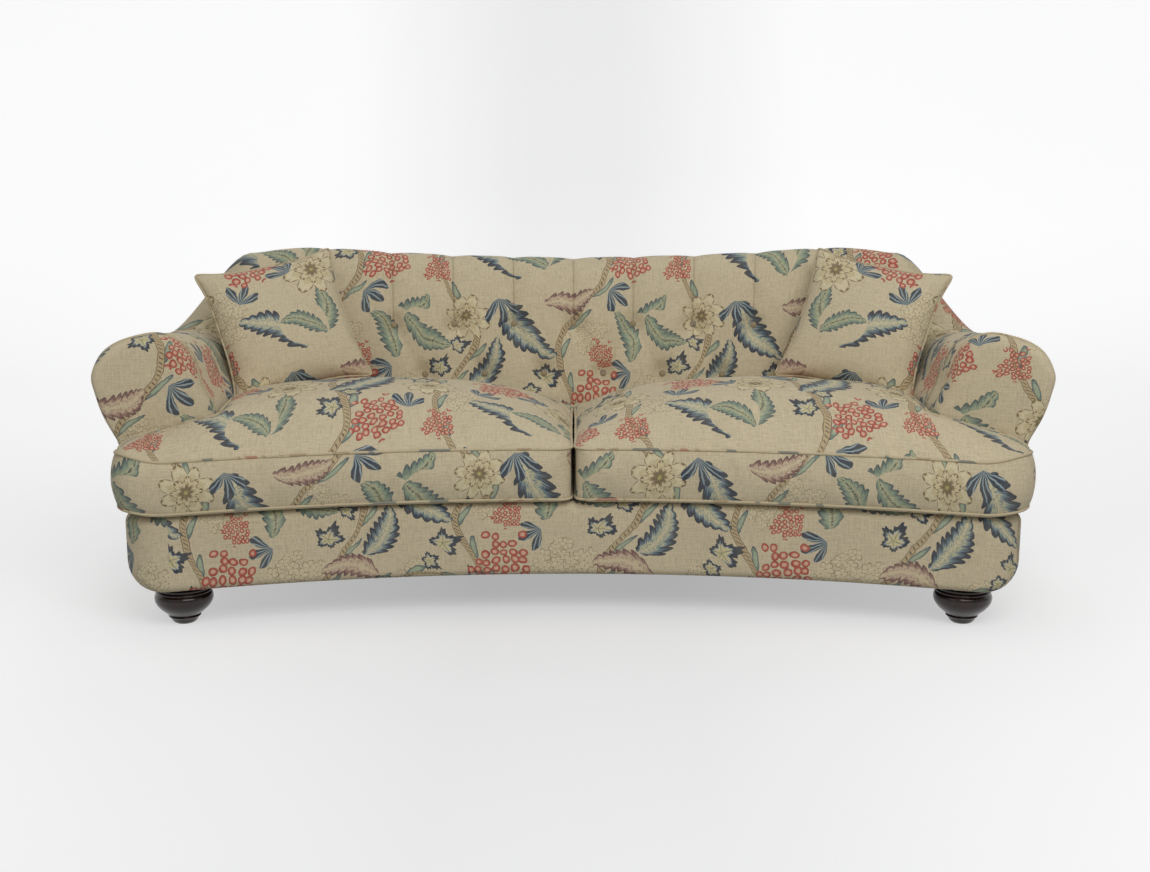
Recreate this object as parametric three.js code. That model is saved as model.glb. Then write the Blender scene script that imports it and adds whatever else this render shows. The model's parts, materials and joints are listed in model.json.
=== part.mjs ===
// Cabriole sofa: hardwood frame, springs, pads, covers, feet and loose cushions.
// Millimetres, +Z up, +X to the viewer's right, the seat faces -Y.
import * as THREE from 'three';

// Clearance between pieces that touch
const CLEAR = 0.3;

// Plan: every long curve shares one centre in front of the sofa
const CURVE_RADIUS = 3050;
const WRAP_SETBACK = 712;
const WRAP_HALF_WIDTH = 1000;
const WRAP_CORNER_RADIUS = 170;
const BASE_REACH = 72;
const HALF_BASE = WRAP_HALF_WIDTH + BASE_REACH;
const BASE_CORNER_RADIUS = 90;
const FACING_SETBACK = 156;
const FACING_DEPTH = 44;
const ARM_FRONT_SETBACK = FACING_SETBACK + FACING_DEPTH;
const BENT_STEPS = 24;

// Heights
const BASE_BOTTOM = 100;
const FRAME_RISE = 15;
const FRAME_BOTTOM = BASE_BOTTOM + FRAME_RISE;
const SEAT_TOP = 286;
const RAIL_DROP = 48;
const RAIL_TOP = SEAT_TOP - RAIL_DROP;
const BACK_HEIGHT = 850;
const DECK_THICKNESS = 24;
const DECK_LAP = 4;
const DECK_REAR_OFFSET = -24;
const DECK_STEPS = 22;
const LINING_THICKNESS = 2;
const LINING_MARGIN = 3;

// Timber sizes
const BOARD = 28;
const FRONT_RAIL_SETBACK = 24;
const FRONT_RAIL_END_GAP = 26;
const BACK_RAIL_OFFSET = 10;
const BACK_RAIL_OVERRUN = 50;
const TUCK_RAIL_OVERRUN = 20;
const TOP_RAIL_SHORTFALL = 30;
const SIDE_RAIL_INSET = 1.298014;
const CORNER_POST_SIZE = 36;
const CORNER_POST_OFFSET = 5;
const CORNER_POST_DROP = 65;
const POST_RISE = 10;
const TOP_RAIL_GAP = 19.512195;
const TOP_RAIL_HEIGHT = 50;
const TUCK_RAIL_RISE = 14;
const TUCK_RAIL_HEIGHT = 40;
const BACK_POST_SHARE = 0.425;
const BACK_POST_WIDTH = 60;
const ARM_RAIL_DROP = 150;
const ARM_RAIL_HEIGHT = 24;
const ARM_RAIL_OUTSET = 2;
const ARM_RAIL_WIDTH = 65;
const ARM_POST_DEPTH = 60;
const DECK_SIDE_GAP = 4;
const STRETCHER_SHARE = 0.375;
const STRETCHER_RISE = 25;
const STRETCHER_HEIGHT = 90;
const BLOCK_HEIGHT = 30;
const BLOCK_LEG = 150;
const BLOCK_SHARES = [1, 0.75, 0.5, 0.25, 0];
const REAR_BLOCK = [[0, -185], [0, -25], [-40, -9], [-95, 35], [-223, 63]];

// Feet and their bolts
const FRONT_FOOT_INSET = 17;
const FRONT_FOOT_SETBACK = 99.382479;
const REAR_FOOT_INSET = 76;
const REAR_FOOT_AHEAD = 13.300221;
const FOOT_COLLAR_RADIUS = 36;
const BOLT_RADIUS = 5;
const BOLT_HEAD_RADIUS = 9;
const BOLT_HEAD_HEIGHT = 7;
const BOLT_REACH = 45;
const FOOT_SEGMENTS = 16;
const BOLT_SEGMENTS = 12;
const HOLE_SEGMENTS = 12;

// Seat springs and back straps
const SPRING_COUNT = 9;
const SPRING_END_MARGIN = 96;
const SPRING_WIRE_RADIUS = 2;
const SPRING_HALF_WIDTH = 24;
const SPRING_BENDS = 9;
const SPRING_RISE = 14;
const SPRING_BEND_SHARES = [[0.75, -0.42], [1, 0], [0.75, 0.42]];
const STRAP_COUNT = 5;
const STRAP_REACH_SHARE = 0.565;
const STRAP_WIDTH = 50;
const STRAP_THICKNESS = 2.5;
const STRAP_OFFSET = 5;

// Base border section
const BORDER_THICKNESS = 14;
const BORDER_TOP_ROUND = 24;
const BORDER_FRONT_BOTTOM_ROUND = 22;
const BORDER_SIDE_BOTTOM_ROUND = 70;
const BORDER_LIP = 40;
const BORDER_REAR_OFFSET = 86;
const BORDER_LONG_STEPS = 10;
const BORDER_CORNER_STEPS = 5;
const BORDER_END_SHARES = [0.5, 1];
const OUTER_ROUND_SHARES = [0, 1 / 3, 2 / 3, 1];
const INNER_ROUND_SHARES = [0, 2 / 3, 1];

// Outside covers
const COVER_THICKNESS = 8;
const COVER_SHARES = [0, 0.35, 0.7, 1];
const COVER_FLARE_SHARE_POWER = 1.6;
const COVER_BACK_STEPS = 12;
const COVER_SPLIT_SHARE = 0.5;
const HALF_CORNER_STEPS = 2;
const ROLL_GAP = 1;

// The wrapped back turns the corner and ends on the arm at the split share
const SPLIT_SHARE = 0.45;
const CORNER_SHARE = 0.7;
const SECTION_TURN_SHARE = 0.05;
const FALL_END_SHARE = 0.8;
const CORNER_STEPS = 4;
const ARM_STEPS = 4;
const OUTER_BACK_SHARES = [0.45, 1];
const WRAPPED_ARM_SHARES = [SPLIT_SHARE / 2, SPLIT_SHARE];

// Buttoned channels of the inside back
const CHANNEL_WIDTH_SHARE = 0.169;
const CHANNEL_WIDTH = WRAP_HALF_WIDTH * CHANNEL_WIDTH_SHARE;
const HALF_CHANNEL_SHARE = 0.5;
const SEAM_REACH = 4;
const SEAM_END_SHARE = 0.25;
const CREASE_SPREAD_SHARE = 1 / 6;
const PLEAT_DEPTH = 11;
const BUTTON_DEPTH = 17;
const BUTTON_SPREAD = 30;
const UPPER_BUTTON_Z = 640;
const LOWER_BUTTON_Z = 505;
const PLEAT_BOTTOM_RISE = 14;
const PLEAT_BOTTOM_FADE = 80;
const PLEAT_TOP_FADE = 70;

// Seat cushions
const CUSHION_OVERHANG = 18;
const CUSHION_SIDE_OVERHANG = 13;
const CUSHION_HALF_SPAN = HALF_BASE + CUSHION_SIDE_OVERHANG;
const CUSHION_GAP = 4;
const CUSHION_REAR_GAP = 6;
const CUSHION_INNER_X = CUSHION_GAP;
const CUSHION_EAR_SETBACK = FACING_SETBACK - CUSHION_GAP;
const CUSHION_WELT_RISE = 136;
const CUSHION_WELT_Z = SEAT_TOP + CUSHION_WELT_RISE;
const CUSHION_WELT_HEIGHT = 6;
const CUSHION_WELT_TOP = CUSHION_WELT_Z + CUSHION_WELT_HEIGHT;
const CUSHION_CROWN = 106;
const CUSHION_CORNER_RADII = {
  innerFront: 38, outerFront: 135, ear: 30, arm: 14, outerRear: 66, innerRear: 30,
};
const CUSHION_WELT_BAND = 20;
const CUSHION_CENTRE_X = 480;
const CUSHION_CENTRE_SETBACK = 80;
const OUTLINE_STEP = 120;
const ROUND_SHARES = [0, 1 / 3, 2 / 3, 1];
const CROWN_SHARES = [0.97, 0.91, 0.8, 0.62, 0.4, 0.2];
const CROWN_SHARE_POWERS = { across: 2.5, along: 2.6, fullness: 0.8, rim: 8 };

// Scatter cushions
const SCATTER_HALF = 183;
const SCATTER_THICKNESS = 125;
const SCATTER_PULL_SHARE = 0.055;
const SCATTER_SIDE_INSET = 49;
const SCATTER_AHEAD = 285;
const SCATTER_RISE = 203;
const SCATTER_YAW_DEGREES = 22;
const SCATTER_LEAN_DEGREES = 28;
const SCATTER_ROLL_DEGREES = -10;
const SCATTER_GRID = 10;

const group = new THREE.Group();
group.name = 'cabriole_sofa';

const COLOURS = {
  hardwood: '#b98f5e',
  stained_wood: '#2a1a16',
  steel: '#9a9a9a',
  webbing: '#7a6a4c',
  padding_cover: '#b5a282',
  base_cover: '#b0a080',
  cushion_cover: '#c2b28e',
  scatter_cover: '#cbb894',
  lining: '#3a3a3a',
};

// Plan distance behind the front border, measured along the shared radius
const arcY = (x, setback) => Math.sqrt((CURVE_RADIUS + setback) ** 2 - x * x) - CURVE_RADIUS;

const mix = (a, b, share) => a + (b - a) * share;

const smooth = (value, low, high) => THREE.MathUtils.smoothstep(value, low, high);

// One closed solid from vertices and triangles, wound outward
function addSolid(name, slot, points, triangles) {
  const geometry = new THREE.BufferGeometry();
  const volume = triangles.reduce((sum, [a, b, c]) => {
    const [p, q, r] = [points[a], points[b], points[c]];
    return sum + p[0] * (q[1] * r[2] - q[2] * r[1])
      - p[1] * (q[0] * r[2] - q[2] * r[0])
      + p[2] * (q[0] * r[1] - q[1] * r[0]);
  }, 0);
  const wound = volume < 0 ? triangles.map(([a, b, c]) => [a, c, b]) : triangles;
  geometry.setAttribute('position', new THREE.Float32BufferAttribute(points.flat(), 3));
  geometry.setIndex(wound.flat());
  geometry.computeVertexNormals();
  const material = new THREE.MeshStandardMaterial({ color: COLOURS[slot], name: slot });
  const mesh = new THREE.Mesh(geometry, material);
  mesh.name = name;
  group.add(mesh);
}

// Quads between rings that follow one another; every ring has the same number of points
function joinRings(rings, first, closedLoop) {
  const count = rings[0].length;
  const triangles = [];
  const last = closedLoop ? rings.length : rings.length - 1;
  for (let i = 0; i < last; i += 1) {
    const near = first + i * count;
    const far = first + ((i + 1) % rings.length) * count;
    for (let j = 0; j < count; j += 1) {
      const k = (j + 1) % count;
      triangles.push([near + j, near + k, far + k], [near + j, far + k, far + j]);
    }
  }
  return triangles;
}

// Triangles over one end ring, turned the same way as its outline runs
function capTriangles(flatOutline) {
  const contour = flatOutline.map(([u, v]) => new THREE.Vector2(u, v));
  const runsBack = THREE.ShapeUtils.isClockWise(contour);
  return THREE.ShapeUtils.triangulateShape(contour, []).map(([a, b, c]) => {
    const turnsBack = THREE.ShapeUtils.isClockWise([contour[a], contour[b], contour[c]]);
    return turnsBack === runsBack ? [a, b, c] : [a, c, b];
  });
}

// Loft through rings; the flat outline says how the two ends are closed
function addLoft(name, slot, rings, flatOutline) {
  const triangles = joinRings(rings, 0, !flatOutline);
  if (flatOutline) {
    const last = (rings.length - 1) * flatOutline.length;
    for (const [a, b, c] of capTriangles(flatOutline)) {
      triangles.push([a, c, b], [last + a, last + b, last + c]);
    }
  }
  addSolid(name, slot, rings.flat(), triangles);
}

const rectangle = (u0, u1, v0, v1) => [[u0, v0], [u1, v0], [u1, v1], [u0, v1]];

// Straight timber between two x values, its ends cut by plan curves
function addBoard(name, slot, x0, x1, frontY, rearY, z0, z1) {
  const outline = rectangle(x0, x1, z0, z1);
  const ring = (edge) => outline.map(([x, z]) => [x, edge(x), z]);
  addLoft(name, slot, [ring(frontY), ring(rearY)], outline);
}

// Timber bent along the shared curve
function addBentBoard(name, slot, halfLength, setback, thickness, z0, z1) {
  const outline = rectangle(setback, setback + thickness, z0, z1);
  const rings = Array.from({ length: BENT_STEPS + 1 }, (_, i) => {
    const x = mix(-halfLength, halfLength, i / BENT_STEPS);
    return outline.map(([back, z]) => [x, arcY(x, back), z]);
  });
  addLoft(name, slot, rings, outline);
}

// The wrap path runs up one arm, round the corner and along the back
const CORNER_X = WRAP_HALF_WIDTH - WRAP_CORNER_RADIUS;
const CORNER_Y = arcY(CORNER_X, WRAP_SETBACK - WRAP_CORNER_RADIUS);
const CORNER_TURN = Math.atan2(CORNER_Y + CURVE_RADIUS, CORNER_X);
const BACK_END_X = CORNER_X + WRAP_CORNER_RADIUS * Math.cos(CORNER_TURN);

// A post stands in each corner of the path; side rails, deck, blocks and feet take their places from it
const CORNER_POST_TURN = CORNER_TURN / 2;
const CORNER_POST_REACH = WRAP_CORNER_RADIUS + CORNER_POST_OFFSET;
const CORNER_POST_X = CORNER_X + CORNER_POST_REACH * Math.cos(CORNER_POST_TURN);
const CORNER_POST_Y = CORNER_Y + CORNER_POST_REACH * Math.sin(CORNER_POST_TURN);
const SIDE_RAIL_X = CORNER_POST_X - SIDE_RAIL_INSET;
const ARM_RAIL_X = SIDE_RAIL_X + ARM_RAIL_OUTSET;
const DECK_HALF_WIDTH = SIDE_RAIL_X - DECK_SIDE_GAP;

// Bent rails end near the corner's centre
const FRONT_RAIL_HALF_LENGTH = SIDE_RAIL_X - FRONT_RAIL_END_GAP;
const BACK_RAIL_HALF_LENGTH = CORNER_X + BACK_RAIL_OVERRUN;
const TUCK_RAIL_HALF_LENGTH = CORNER_X + TUCK_RAIL_OVERRUN;
const TOP_RAIL_HALF_LENGTH = CORNER_X - TOP_RAIL_SHORTFALL;

function backStation(x) {
  const y = arcY(x, WRAP_SETBACK);
  const reach = CURVE_RADIUS + WRAP_SETBACK;
  const normal = [x / reach, (y + CURVE_RADIUS) / reach];
  return { side: Math.sign(x) || 1, x, y, normal, turn: 0, along: 0 };
}

function cornerStation(side, turnShare) {
  const angle = CORNER_TURN * (1 - turnShare);
  const normal = [side * Math.cos(angle), Math.sin(angle)];
  return {
    side,
    x: side * (CORNER_X + WRAP_CORNER_RADIUS * Math.cos(angle)),
    y: CORNER_Y + WRAP_CORNER_RADIUS * Math.sin(angle),
    normal,
    turn: turnShare,
    along: 0,
  };
}

function armStation(side, along) {
  return { side, x: side * WRAP_HALF_WIDTH, y: CORNER_Y, normal: [side, 0], turn: 1, along };
}

// A point beside the path; arm stations slide to meet the slanted arm front
function besidePath(station, offset, z) {
  const x = station.x + station.normal[0] * offset;
  const y = station.y + station.normal[1] * offset;
  return [x, mix(y, arcY(x, ARM_FRONT_SETBACK), station.along), z];
}

// How far a station has changed from the back's section to the arm's
function armShare({ turn, along }) {
  if (along > 0) return mix(CORNER_SHARE, 1, smooth(along, 0, SPLIT_SHARE));
  return CORNER_SHARE * smooth(turn, SECTION_TURN_SHARE, 1);
}

// Skin first from the inside foot over the roll, then back through the cavity: [offset, z]
const PAD_BOTTOM = SEAT_TOP + CLEAR;
const ARM_PAD_FACE = 130;
const BACK_PAD_FACE = 118;
const ARM_SECTION = [
  [-ARM_PAD_FACE, PAD_BOTTOM], [-ARM_PAD_FACE, 360],
  [-129, 440], [-119, 505], [-92, 565], [-79, 610], [-64, 651], [-38, 680],
  [5, 695], [50, 690], [94, 676], [127, 651], [148, 606], [142, 560], [127, 505], [100, 445],
  [66, 455], [96, 540], [96, 600], [50, 640], [0, 636], [-38, 592], [-88, 455], [-92, PAD_BOTTOM],
];
const BACK_SECTION = [
  [-112, PAD_BOTTOM], [-BACK_PAD_FACE, 360],
  [-116, 440], [-106, 505], [-92, 572], [-78, 640], [-62, 700], [-46, 750],
  [-24, 800], [6, 835], [36, 845], [66, 832], [84, 795], [88, 750], [88, 715], [86, 680],
  [66, 680], [66, 740], [58, 785], [34, 800], [4, 780], [-30, 700], [-62, 505], [-72, PAD_BOTTOM],
];
const highest = (section) => Math.max(...section.map(([, z]) => z));
const BACK_SECTION_TOP = highest(BACK_SECTION);
const ARM_SECTION_TOP = highest(ARM_SECTION);
const ARM_SCOOP = 48;
const SKIN_POINT_COUNT = 16;
const INSIDE_FACE_COUNT = 9;
const ROLL_UNDERSIDE_INDEX = 20;

// Top line of the back, [place along the half width, drop from the full height]: it dips in the middle
const TOP_LINE_SHARES = [
  [0, 35 / 850], [0.33, 26 / 850], [0.5, 16 / 850], [0.68, 1 / 850],
  [0.76, 0], [0.84, 7 / 850], [0.87, 14 / 850],
];
const TOP_LINE = TOP_LINE_SHARES.map(([out, drop]) => [out * WRAP_HALF_WIDTH, BACK_HEIGHT * (1 - drop)]);
function topHeight({ x, turn, along }) {
  const armTop = ARM_SECTION_TOP - ARM_SCOOP * (1 - along);
  if (along > 0) return armTop;
  const reach = Math.min(Math.abs(x), TOP_LINE[TOP_LINE.length - 1][0]);
  const next = TOP_LINE.findIndex(([at]) => at >= reach);
  if (next <= 0) return TOP_LINE[0][1];
  const [from, to] = [TOP_LINE[next - 1], TOP_LINE[next]];
  const backTop = mix(from[1], to[1], (reach - from[0]) / (to[0] - from[0]));
  return mix(backTop, armTop, smooth(turn, SECTION_TURN_SHARE, FALL_END_SHARE));
}

// Distance from a crease, turned into a rounded valley
const valley = (distance, spread) => Math.exp(-((distance / spread) ** 2));

// Inward pull of pleats and buttons at a place on the inside back
function tuftDepth(x, z) {
  const nearestSeam = Math.round(x / CHANNEL_WIDTH);
  const nearestHalf = Math.round(x / CHANNEL_WIDTH - HALF_CHANNEL_SHARE) + HALF_CHANNEL_SHARE;
  const fromSeam = Math.abs(x - nearestSeam * CHANNEL_WIDTH);
  const fromHalf = Math.abs(x - nearestHalf * CHANNEL_WIDTH);
  if (Math.abs(nearestSeam) > SEAM_REACH && z > UPPER_BUTTON_Z) return 0;
  if (Math.abs(x) > (SEAM_REACH + SEAM_END_SHARE) * CHANNEL_WIDTH) return 0;
  const spread = CHANNEL_WIDTH * CREASE_SPREAD_SHARE;
  const slope = (UPPER_BUTTON_Z - LOWER_BUTTON_Z) / (CHANNEL_WIDTH / 2);
  let crease = 0;
  if (z >= UPPER_BUTTON_Z) {
    crease = valley(fromSeam, spread) * smooth(BACK_SECTION_TOP - z, 0, PLEAT_TOP_FADE);
  } else if (z >= LOWER_BUTTON_Z) {
    crease = valley(Math.abs(UPPER_BUTTON_Z - z - fromSeam * slope) / slope, spread);
  } else {
    crease = valley(fromHalf, spread) * smooth(z - SEAT_TOP - PLEAT_BOTTOM_RISE, 0, PLEAT_BOTTOM_FADE);
  }
  const upper = valley(Math.hypot(fromSeam, z - UPPER_BUTTON_Z), BUTTON_SPREAD);
  const lower = valley(Math.hypot(fromHalf, z - LOWER_BUTTON_Z), BUTTON_SPREAD);
  return PLEAT_DEPTH * crease + BUTTON_DEPTH * Math.max(upper, lower);
}

// Section of arm and back pad at one station, as offsets and heights
function padSection(station) {
  const share = armShare(station);
  const pivot = mix(UPPER_BUTTON_Z, LOWER_BUTTON_Z, share);
  const rise = (topHeight(station) - pivot) / (mix(BACK_SECTION_TOP, ARM_SECTION_TOP, share) - pivot);
  return BACK_SECTION.map(([backOffset, backZ], i) => {
    const level = mix(backZ, ARM_SECTION[i][1], share);
    const z = level > pivot ? pivot + (level - pivot) * rise : level;
    const tuft = i > 0 && i <= INSIDE_FACE_COUNT ? tuftDepth(station.x, z) * (1 - share) : 0;
    return [mix(backOffset, ARM_SECTION[i][0], share) + tuft, z];
  });
}

// Timbers stand under the rolls; the top rail follows the roll's underside in the middle, its lowest place
const CORNER_POST_TOP = ARM_SECTION_TOP - CORNER_POST_DROP;
const ARM_RAIL_BOTTOM = ARM_SECTION_TOP - ARM_RAIL_DROP;
const ROLL_UNDERSIDE = padSection(backStation(0))[ROLL_UNDERSIDE_INDEX][1];
const TOP_RAIL_BOTTOM = ROLL_UNDERSIDE - TOP_RAIL_GAP - TOP_RAIL_HEIGHT;
const TUCK_RAIL_BOTTOM = SEAT_TOP + TUCK_RAIL_RISE;
const POST_BOTTOM = FRAME_BOTTOM + POST_RISE;

const padRing = (station) => padSection(station).map(([offset, z]) => besidePath(station, offset, z));

// Inside back pad, wrapped round both corners on to the arms
const QUARTER = CHANNEL_WIDTH / 4;
const SEAM_QUARTERS = SEAM_REACH * 4;
const splitGap = CLEAR / (CORNER_Y - arcY(WRAP_HALF_WIDTH, ARM_FRONT_SETBACK));

function halfWrap(side) {
  const outer = OUTER_BACK_SHARES.map(
    (share) => backStation(side * mix(SEAM_REACH * CHANNEL_WIDTH, BACK_END_X, share)),
  );
  const corner = Array.from({ length: CORNER_STEPS }, (_, i) => cornerStation(side, (i + 1) / CORNER_STEPS));
  const arm = WRAPPED_ARM_SHARES.map((along) => armStation(side, along));
  return [...outer, ...corner, ...arm];
}

const channelStations = Array.from(
  { length: 2 * SEAM_QUARTERS + 1 },
  (_, i) => backStation((i - SEAM_QUARTERS) * QUARTER),
);
const wrapStations = [...halfWrap(-1).reverse(), ...channelStations, ...halfWrap(1)];
addLoft('back_pad', 'padding_cover', wrapStations.map(padRing), ARM_SECTION);

// Short arm pads between the wrapped back and the facings
const SIDES = [['left', -1], ['right', 1]];
const armPadPlaces = Array.from(
  { length: ARM_STEPS + 1 }, (_, i) => mix(SPLIT_SHARE + splitGap, 1, i / ARM_STEPS),
);
for (const [word, side] of SIDES) {
  const rings = armPadPlaces.map((along) => padRing(armStation(side, along)));
  addLoft(`arm_pad_${word}`, 'padding_cover', rings, ARM_SECTION);
}

// Arm facings: padded fronts with a rounded edge
const borderOffset = ({ turn }) => mix(BORDER_REAR_OFFSET, HALF_BASE - WRAP_HALF_WIDTH, smooth(turn, 0, 1));

// Outside cover line, from the base border up to the end of the pad's roll
function coverLine(station) {
  const [endOffset, endZ] = padSection(station)[SKIN_POINT_COUNT - 1];
  return COVER_SHARES.map((share) => [
    mix(borderOffset(station), endOffset, share ** COVER_FLARE_SHARE_POWER),
    mix(PAD_BOTTOM, endZ - ROLL_GAP, share),
  ]);
}
const facingCoverLine = coverLine(armStation(1, 1)).slice(0, COVER_SHARES.length - 1);
const FACING_OUTLINE = [...ARM_SECTION.slice(0, SKIN_POINT_COUNT), ...facingCoverLine.reverse()];
const FACING_CENTRE = [-10, 500];
const FACING_SHARES = [[1, 0], [1, 0.45], [0.965, 0.72], [0.88, 0.9], [0.62, 0.98]];

for (const [word, side] of SIDES) {
  const setbackAt = (share) => mix(ARM_FRONT_SETBACK - CLEAR, FACING_SETBACK, share);
  const rings = FACING_SHARES.map(([scale, forward]) => FACING_OUTLINE.map(([offset, z]) => {
    const x = side * (WRAP_HALF_WIDTH + mix(FACING_CENTRE[0], offset, scale));
    const bulged = Math.max(mix(FACING_CENTRE[1], z, scale), PAD_BOTTOM);
    return [x, arcY(x, setbackAt(forward)), bulged];
  }));
  const points = rings.flat();
  const count = FACING_OUTLINE.length;
  const triangles = joinRings(rings, 0, false);
  for (const [a, b, c] of capTriangles(FACING_OUTLINE)) triangles.push([a, c, b]);
  const centreX = side * (WRAP_HALF_WIDTH + FACING_CENTRE[0]);
  points.push([centreX, arcY(centreX, FACING_SETBACK), FACING_CENTRE[1]]);
  const last = (FACING_SHARES.length - 1) * count;
  for (let j = 0; j < count; j += 1) {
    triangles.push([last + j, last + ((j + 1) % count), points.length - 1]);
  }
  addSolid(`arm_facing_${word}`, 'padding_cover', points, triangles);
}

// Outside covers stand on the base border and end under the rolls
function coverSection(station) {
  const outer = coverLine(station);
  const inner = [...outer].reverse().map(([offset, z]) => [offset - COVER_THICKNESS, z]);
  return [...outer, ...inner];
}
const coverRing = (station) => coverSection(station).map(([offset, z]) => besidePath(station, offset, z));
const coverOutline = coverSection(backStation(0));
const cornerHalf = (side, from, to) => Array.from(
  { length: HALF_CORNER_STEPS + 1 }, (_, i) => cornerStation(side, mix(from, to, i / HALF_CORNER_STEPS)),
);
const backCover = Array.from(
  { length: COVER_BACK_STEPS - 1 },
  (_, i) => backStation(mix(-BACK_END_X, BACK_END_X, (i + 1) / COVER_BACK_STEPS)),
);
const rearHalf = (side) => cornerHalf(side, 0, COVER_SPLIT_SHARE);
addLoft(
  'outside_back',
  'base_cover',
  [...rearHalf(-1).reverse(), ...backCover, ...rearHalf(1)].map(coverRing),
  coverOutline,
);
const coverGapShare = CLEAR / (WRAP_CORNER_RADIUS * CORNER_TURN);
for (const [word, side] of SIDES) {
  const armPart = [...WRAPPED_ARM_SHARES, ...armPadPlaces].map((along) => armStation(side, along));
  const stations = [...cornerHalf(side, COVER_SPLIT_SHARE + coverGapShare, 1), ...armPart];
  addLoft(`outside_arm_${word}`, 'base_cover', stations.map(coverRing), coverOutline);
}

// Base border: one padded band all round, deeper rounding under the ends
function borderStations() {
  const stations = [];
  const frontCentreX = HALF_BASE - BASE_CORNER_RADIUS;
  const frontCentreY = arcY(frontCentreX, BASE_CORNER_RADIUS);
  const frontEndX = frontCentreX * (CURVE_RADIUS / (CURVE_RADIUS + BASE_CORNER_RADIUS));
  for (let i = 0; i <= BORDER_LONG_STEPS; i += 1) {
    const x = mix(-frontEndX, frontEndX, i / BORDER_LONG_STEPS);
    const y = arcY(x, 0);
    const normal = [-x / CURVE_RADIUS, -(y + CURVE_RADIUS) / CURVE_RADIUS];
    stations.push({ x, y, normal, ends: 0 });
  }
  const startAngle = Math.atan2(-(frontCentreY + CURVE_RADIUS), -frontCentreX) + 2 * Math.PI;
  const right = [];
  for (let i = 1; i <= BORDER_CORNER_STEPS; i += 1) {
    const share = i / BORDER_CORNER_STEPS;
    const angle = mix(startAngle, 2 * Math.PI, share);
    right.push({
      x: frontCentreX + BASE_CORNER_RADIUS * Math.cos(angle),
      y: frontCentreY + BASE_CORNER_RADIUS * Math.sin(angle),
      normal: [Math.cos(angle), Math.sin(angle)],
      ends: smooth(share, 0, 1),
    });
  }
  for (const share of BORDER_END_SHARES) {
    right.push({ x: HALF_BASE, y: mix(frontCentreY, CORNER_Y, share), normal: [1, 0], ends: 1 });
  }
  for (let i = CORNER_STEPS - 1; i >= 0; i -= 1) {
    const corner = cornerStation(1, i / CORNER_STEPS);
    const [x, y] = besidePath(corner, borderOffset(corner), 0);
    right.push({ x, y, normal: corner.normal, ends: smooth(i / CORNER_STEPS, 0, 1) });
  }
  const rear = [];
  for (let i = 1; i < BORDER_LONG_STEPS; i += 1) {
    const station = backStation(mix(BACK_END_X, -BACK_END_X, i / BORDER_LONG_STEPS));
    const [x, y] = besidePath(station, BORDER_REAR_OFFSET, 0);
    rear.push({ x, y, normal: station.normal, ends: 0 });
  }
  const left = [...right].reverse().map((place) => (
    { ...place, x: -place.x, normal: [-place.normal[0], place.normal[1]] }
  ));
  return [...stations, ...right, ...rear, ...left];
}

function borderSection(bottomRound) {
  const arc = (radius, inset, shares) => shares.map((share) => {
    const angle = (share * Math.PI) / 2;
    return [radius - (radius - inset) * Math.cos(angle), radius - (radius - inset) * Math.sin(angle)];
  });
  const below = ([depth, drop]) => [depth, SEAT_TOP - drop];
  const above = ([depth, rise]) => [depth, BASE_BOTTOM + rise];
  const inset = BORDER_THICKNESS;
  return [
    ...arc(bottomRound, 0, OUTER_ROUND_SHARES).reverse().map(above),
    ...arc(BORDER_TOP_ROUND, 0, OUTER_ROUND_SHARES).map(below),
    [BORDER_LIP, SEAT_TOP],
    [BORDER_LIP, SEAT_TOP - inset],
    [BORDER_TOP_ROUND, SEAT_TOP - inset],
    [inset, SEAT_TOP - BORDER_TOP_ROUND],
    ...arc(bottomRound, inset, INNER_ROUND_SHARES).map(above),
  ];
}

addLoft('base_border', 'base_cover', borderStations().map(({ x, y, normal, ends }) => {
  const section = borderSection(mix(BORDER_FRONT_BOTTOM_ROUND, BORDER_SIDE_BOTTOM_ROUND, ends));
  return section.map(([depth, z]) => [x - normal[0] * depth, y - normal[1] * depth, z]);
}));

// Frame rails
addBentBoard(
  'front_rail', 'hardwood', FRONT_RAIL_HALF_LENGTH, FRONT_RAIL_SETBACK, BOARD, FRAME_BOTTOM, RAIL_TOP,
);
const BACK_RAIL_SETBACK = WRAP_SETBACK + BACK_RAIL_OFFSET;
addBentBoard(
  'back_bottom_rail', 'hardwood', BACK_RAIL_HALF_LENGTH, BACK_RAIL_SETBACK, BOARD, FRAME_BOTTOM, RAIL_TOP,
);
addBentBoard(
  'top_rail', 'hardwood', TOP_RAIL_HALF_LENGTH, BACK_RAIL_SETBACK, BOARD,
  TOP_RAIL_BOTTOM, TOP_RAIL_BOTTOM + TOP_RAIL_HEIGHT,
);
addBentBoard(
  'tuck_rail', 'hardwood', TUCK_RAIL_HALF_LENGTH, BACK_RAIL_SETBACK - BOARD - CLEAR, BOARD,
  TUCK_RAIL_BOTTOM, TUCK_RAIL_BOTTOM + TUCK_RAIL_HEIGHT,
);

// Upright and side timbers, one of each per side
const frontRailRear = (x) => arcY(x, FRONT_RAIL_SETBACK + BOARD + CLEAR);
const cornerPostFront = () => CORNER_POST_Y - CORNER_POST_SIZE / 2 - CLEAR;
const armPostFront = (x) => arcY(x, ARM_FRONT_SETBACK + CLEAR);
const armPostRear = (x) => armPostFront(x) + ARM_POST_DEPTH;

const spread = (side, near, far) => (side > 0 ? [near, far] : [-far, -near]);

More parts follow.
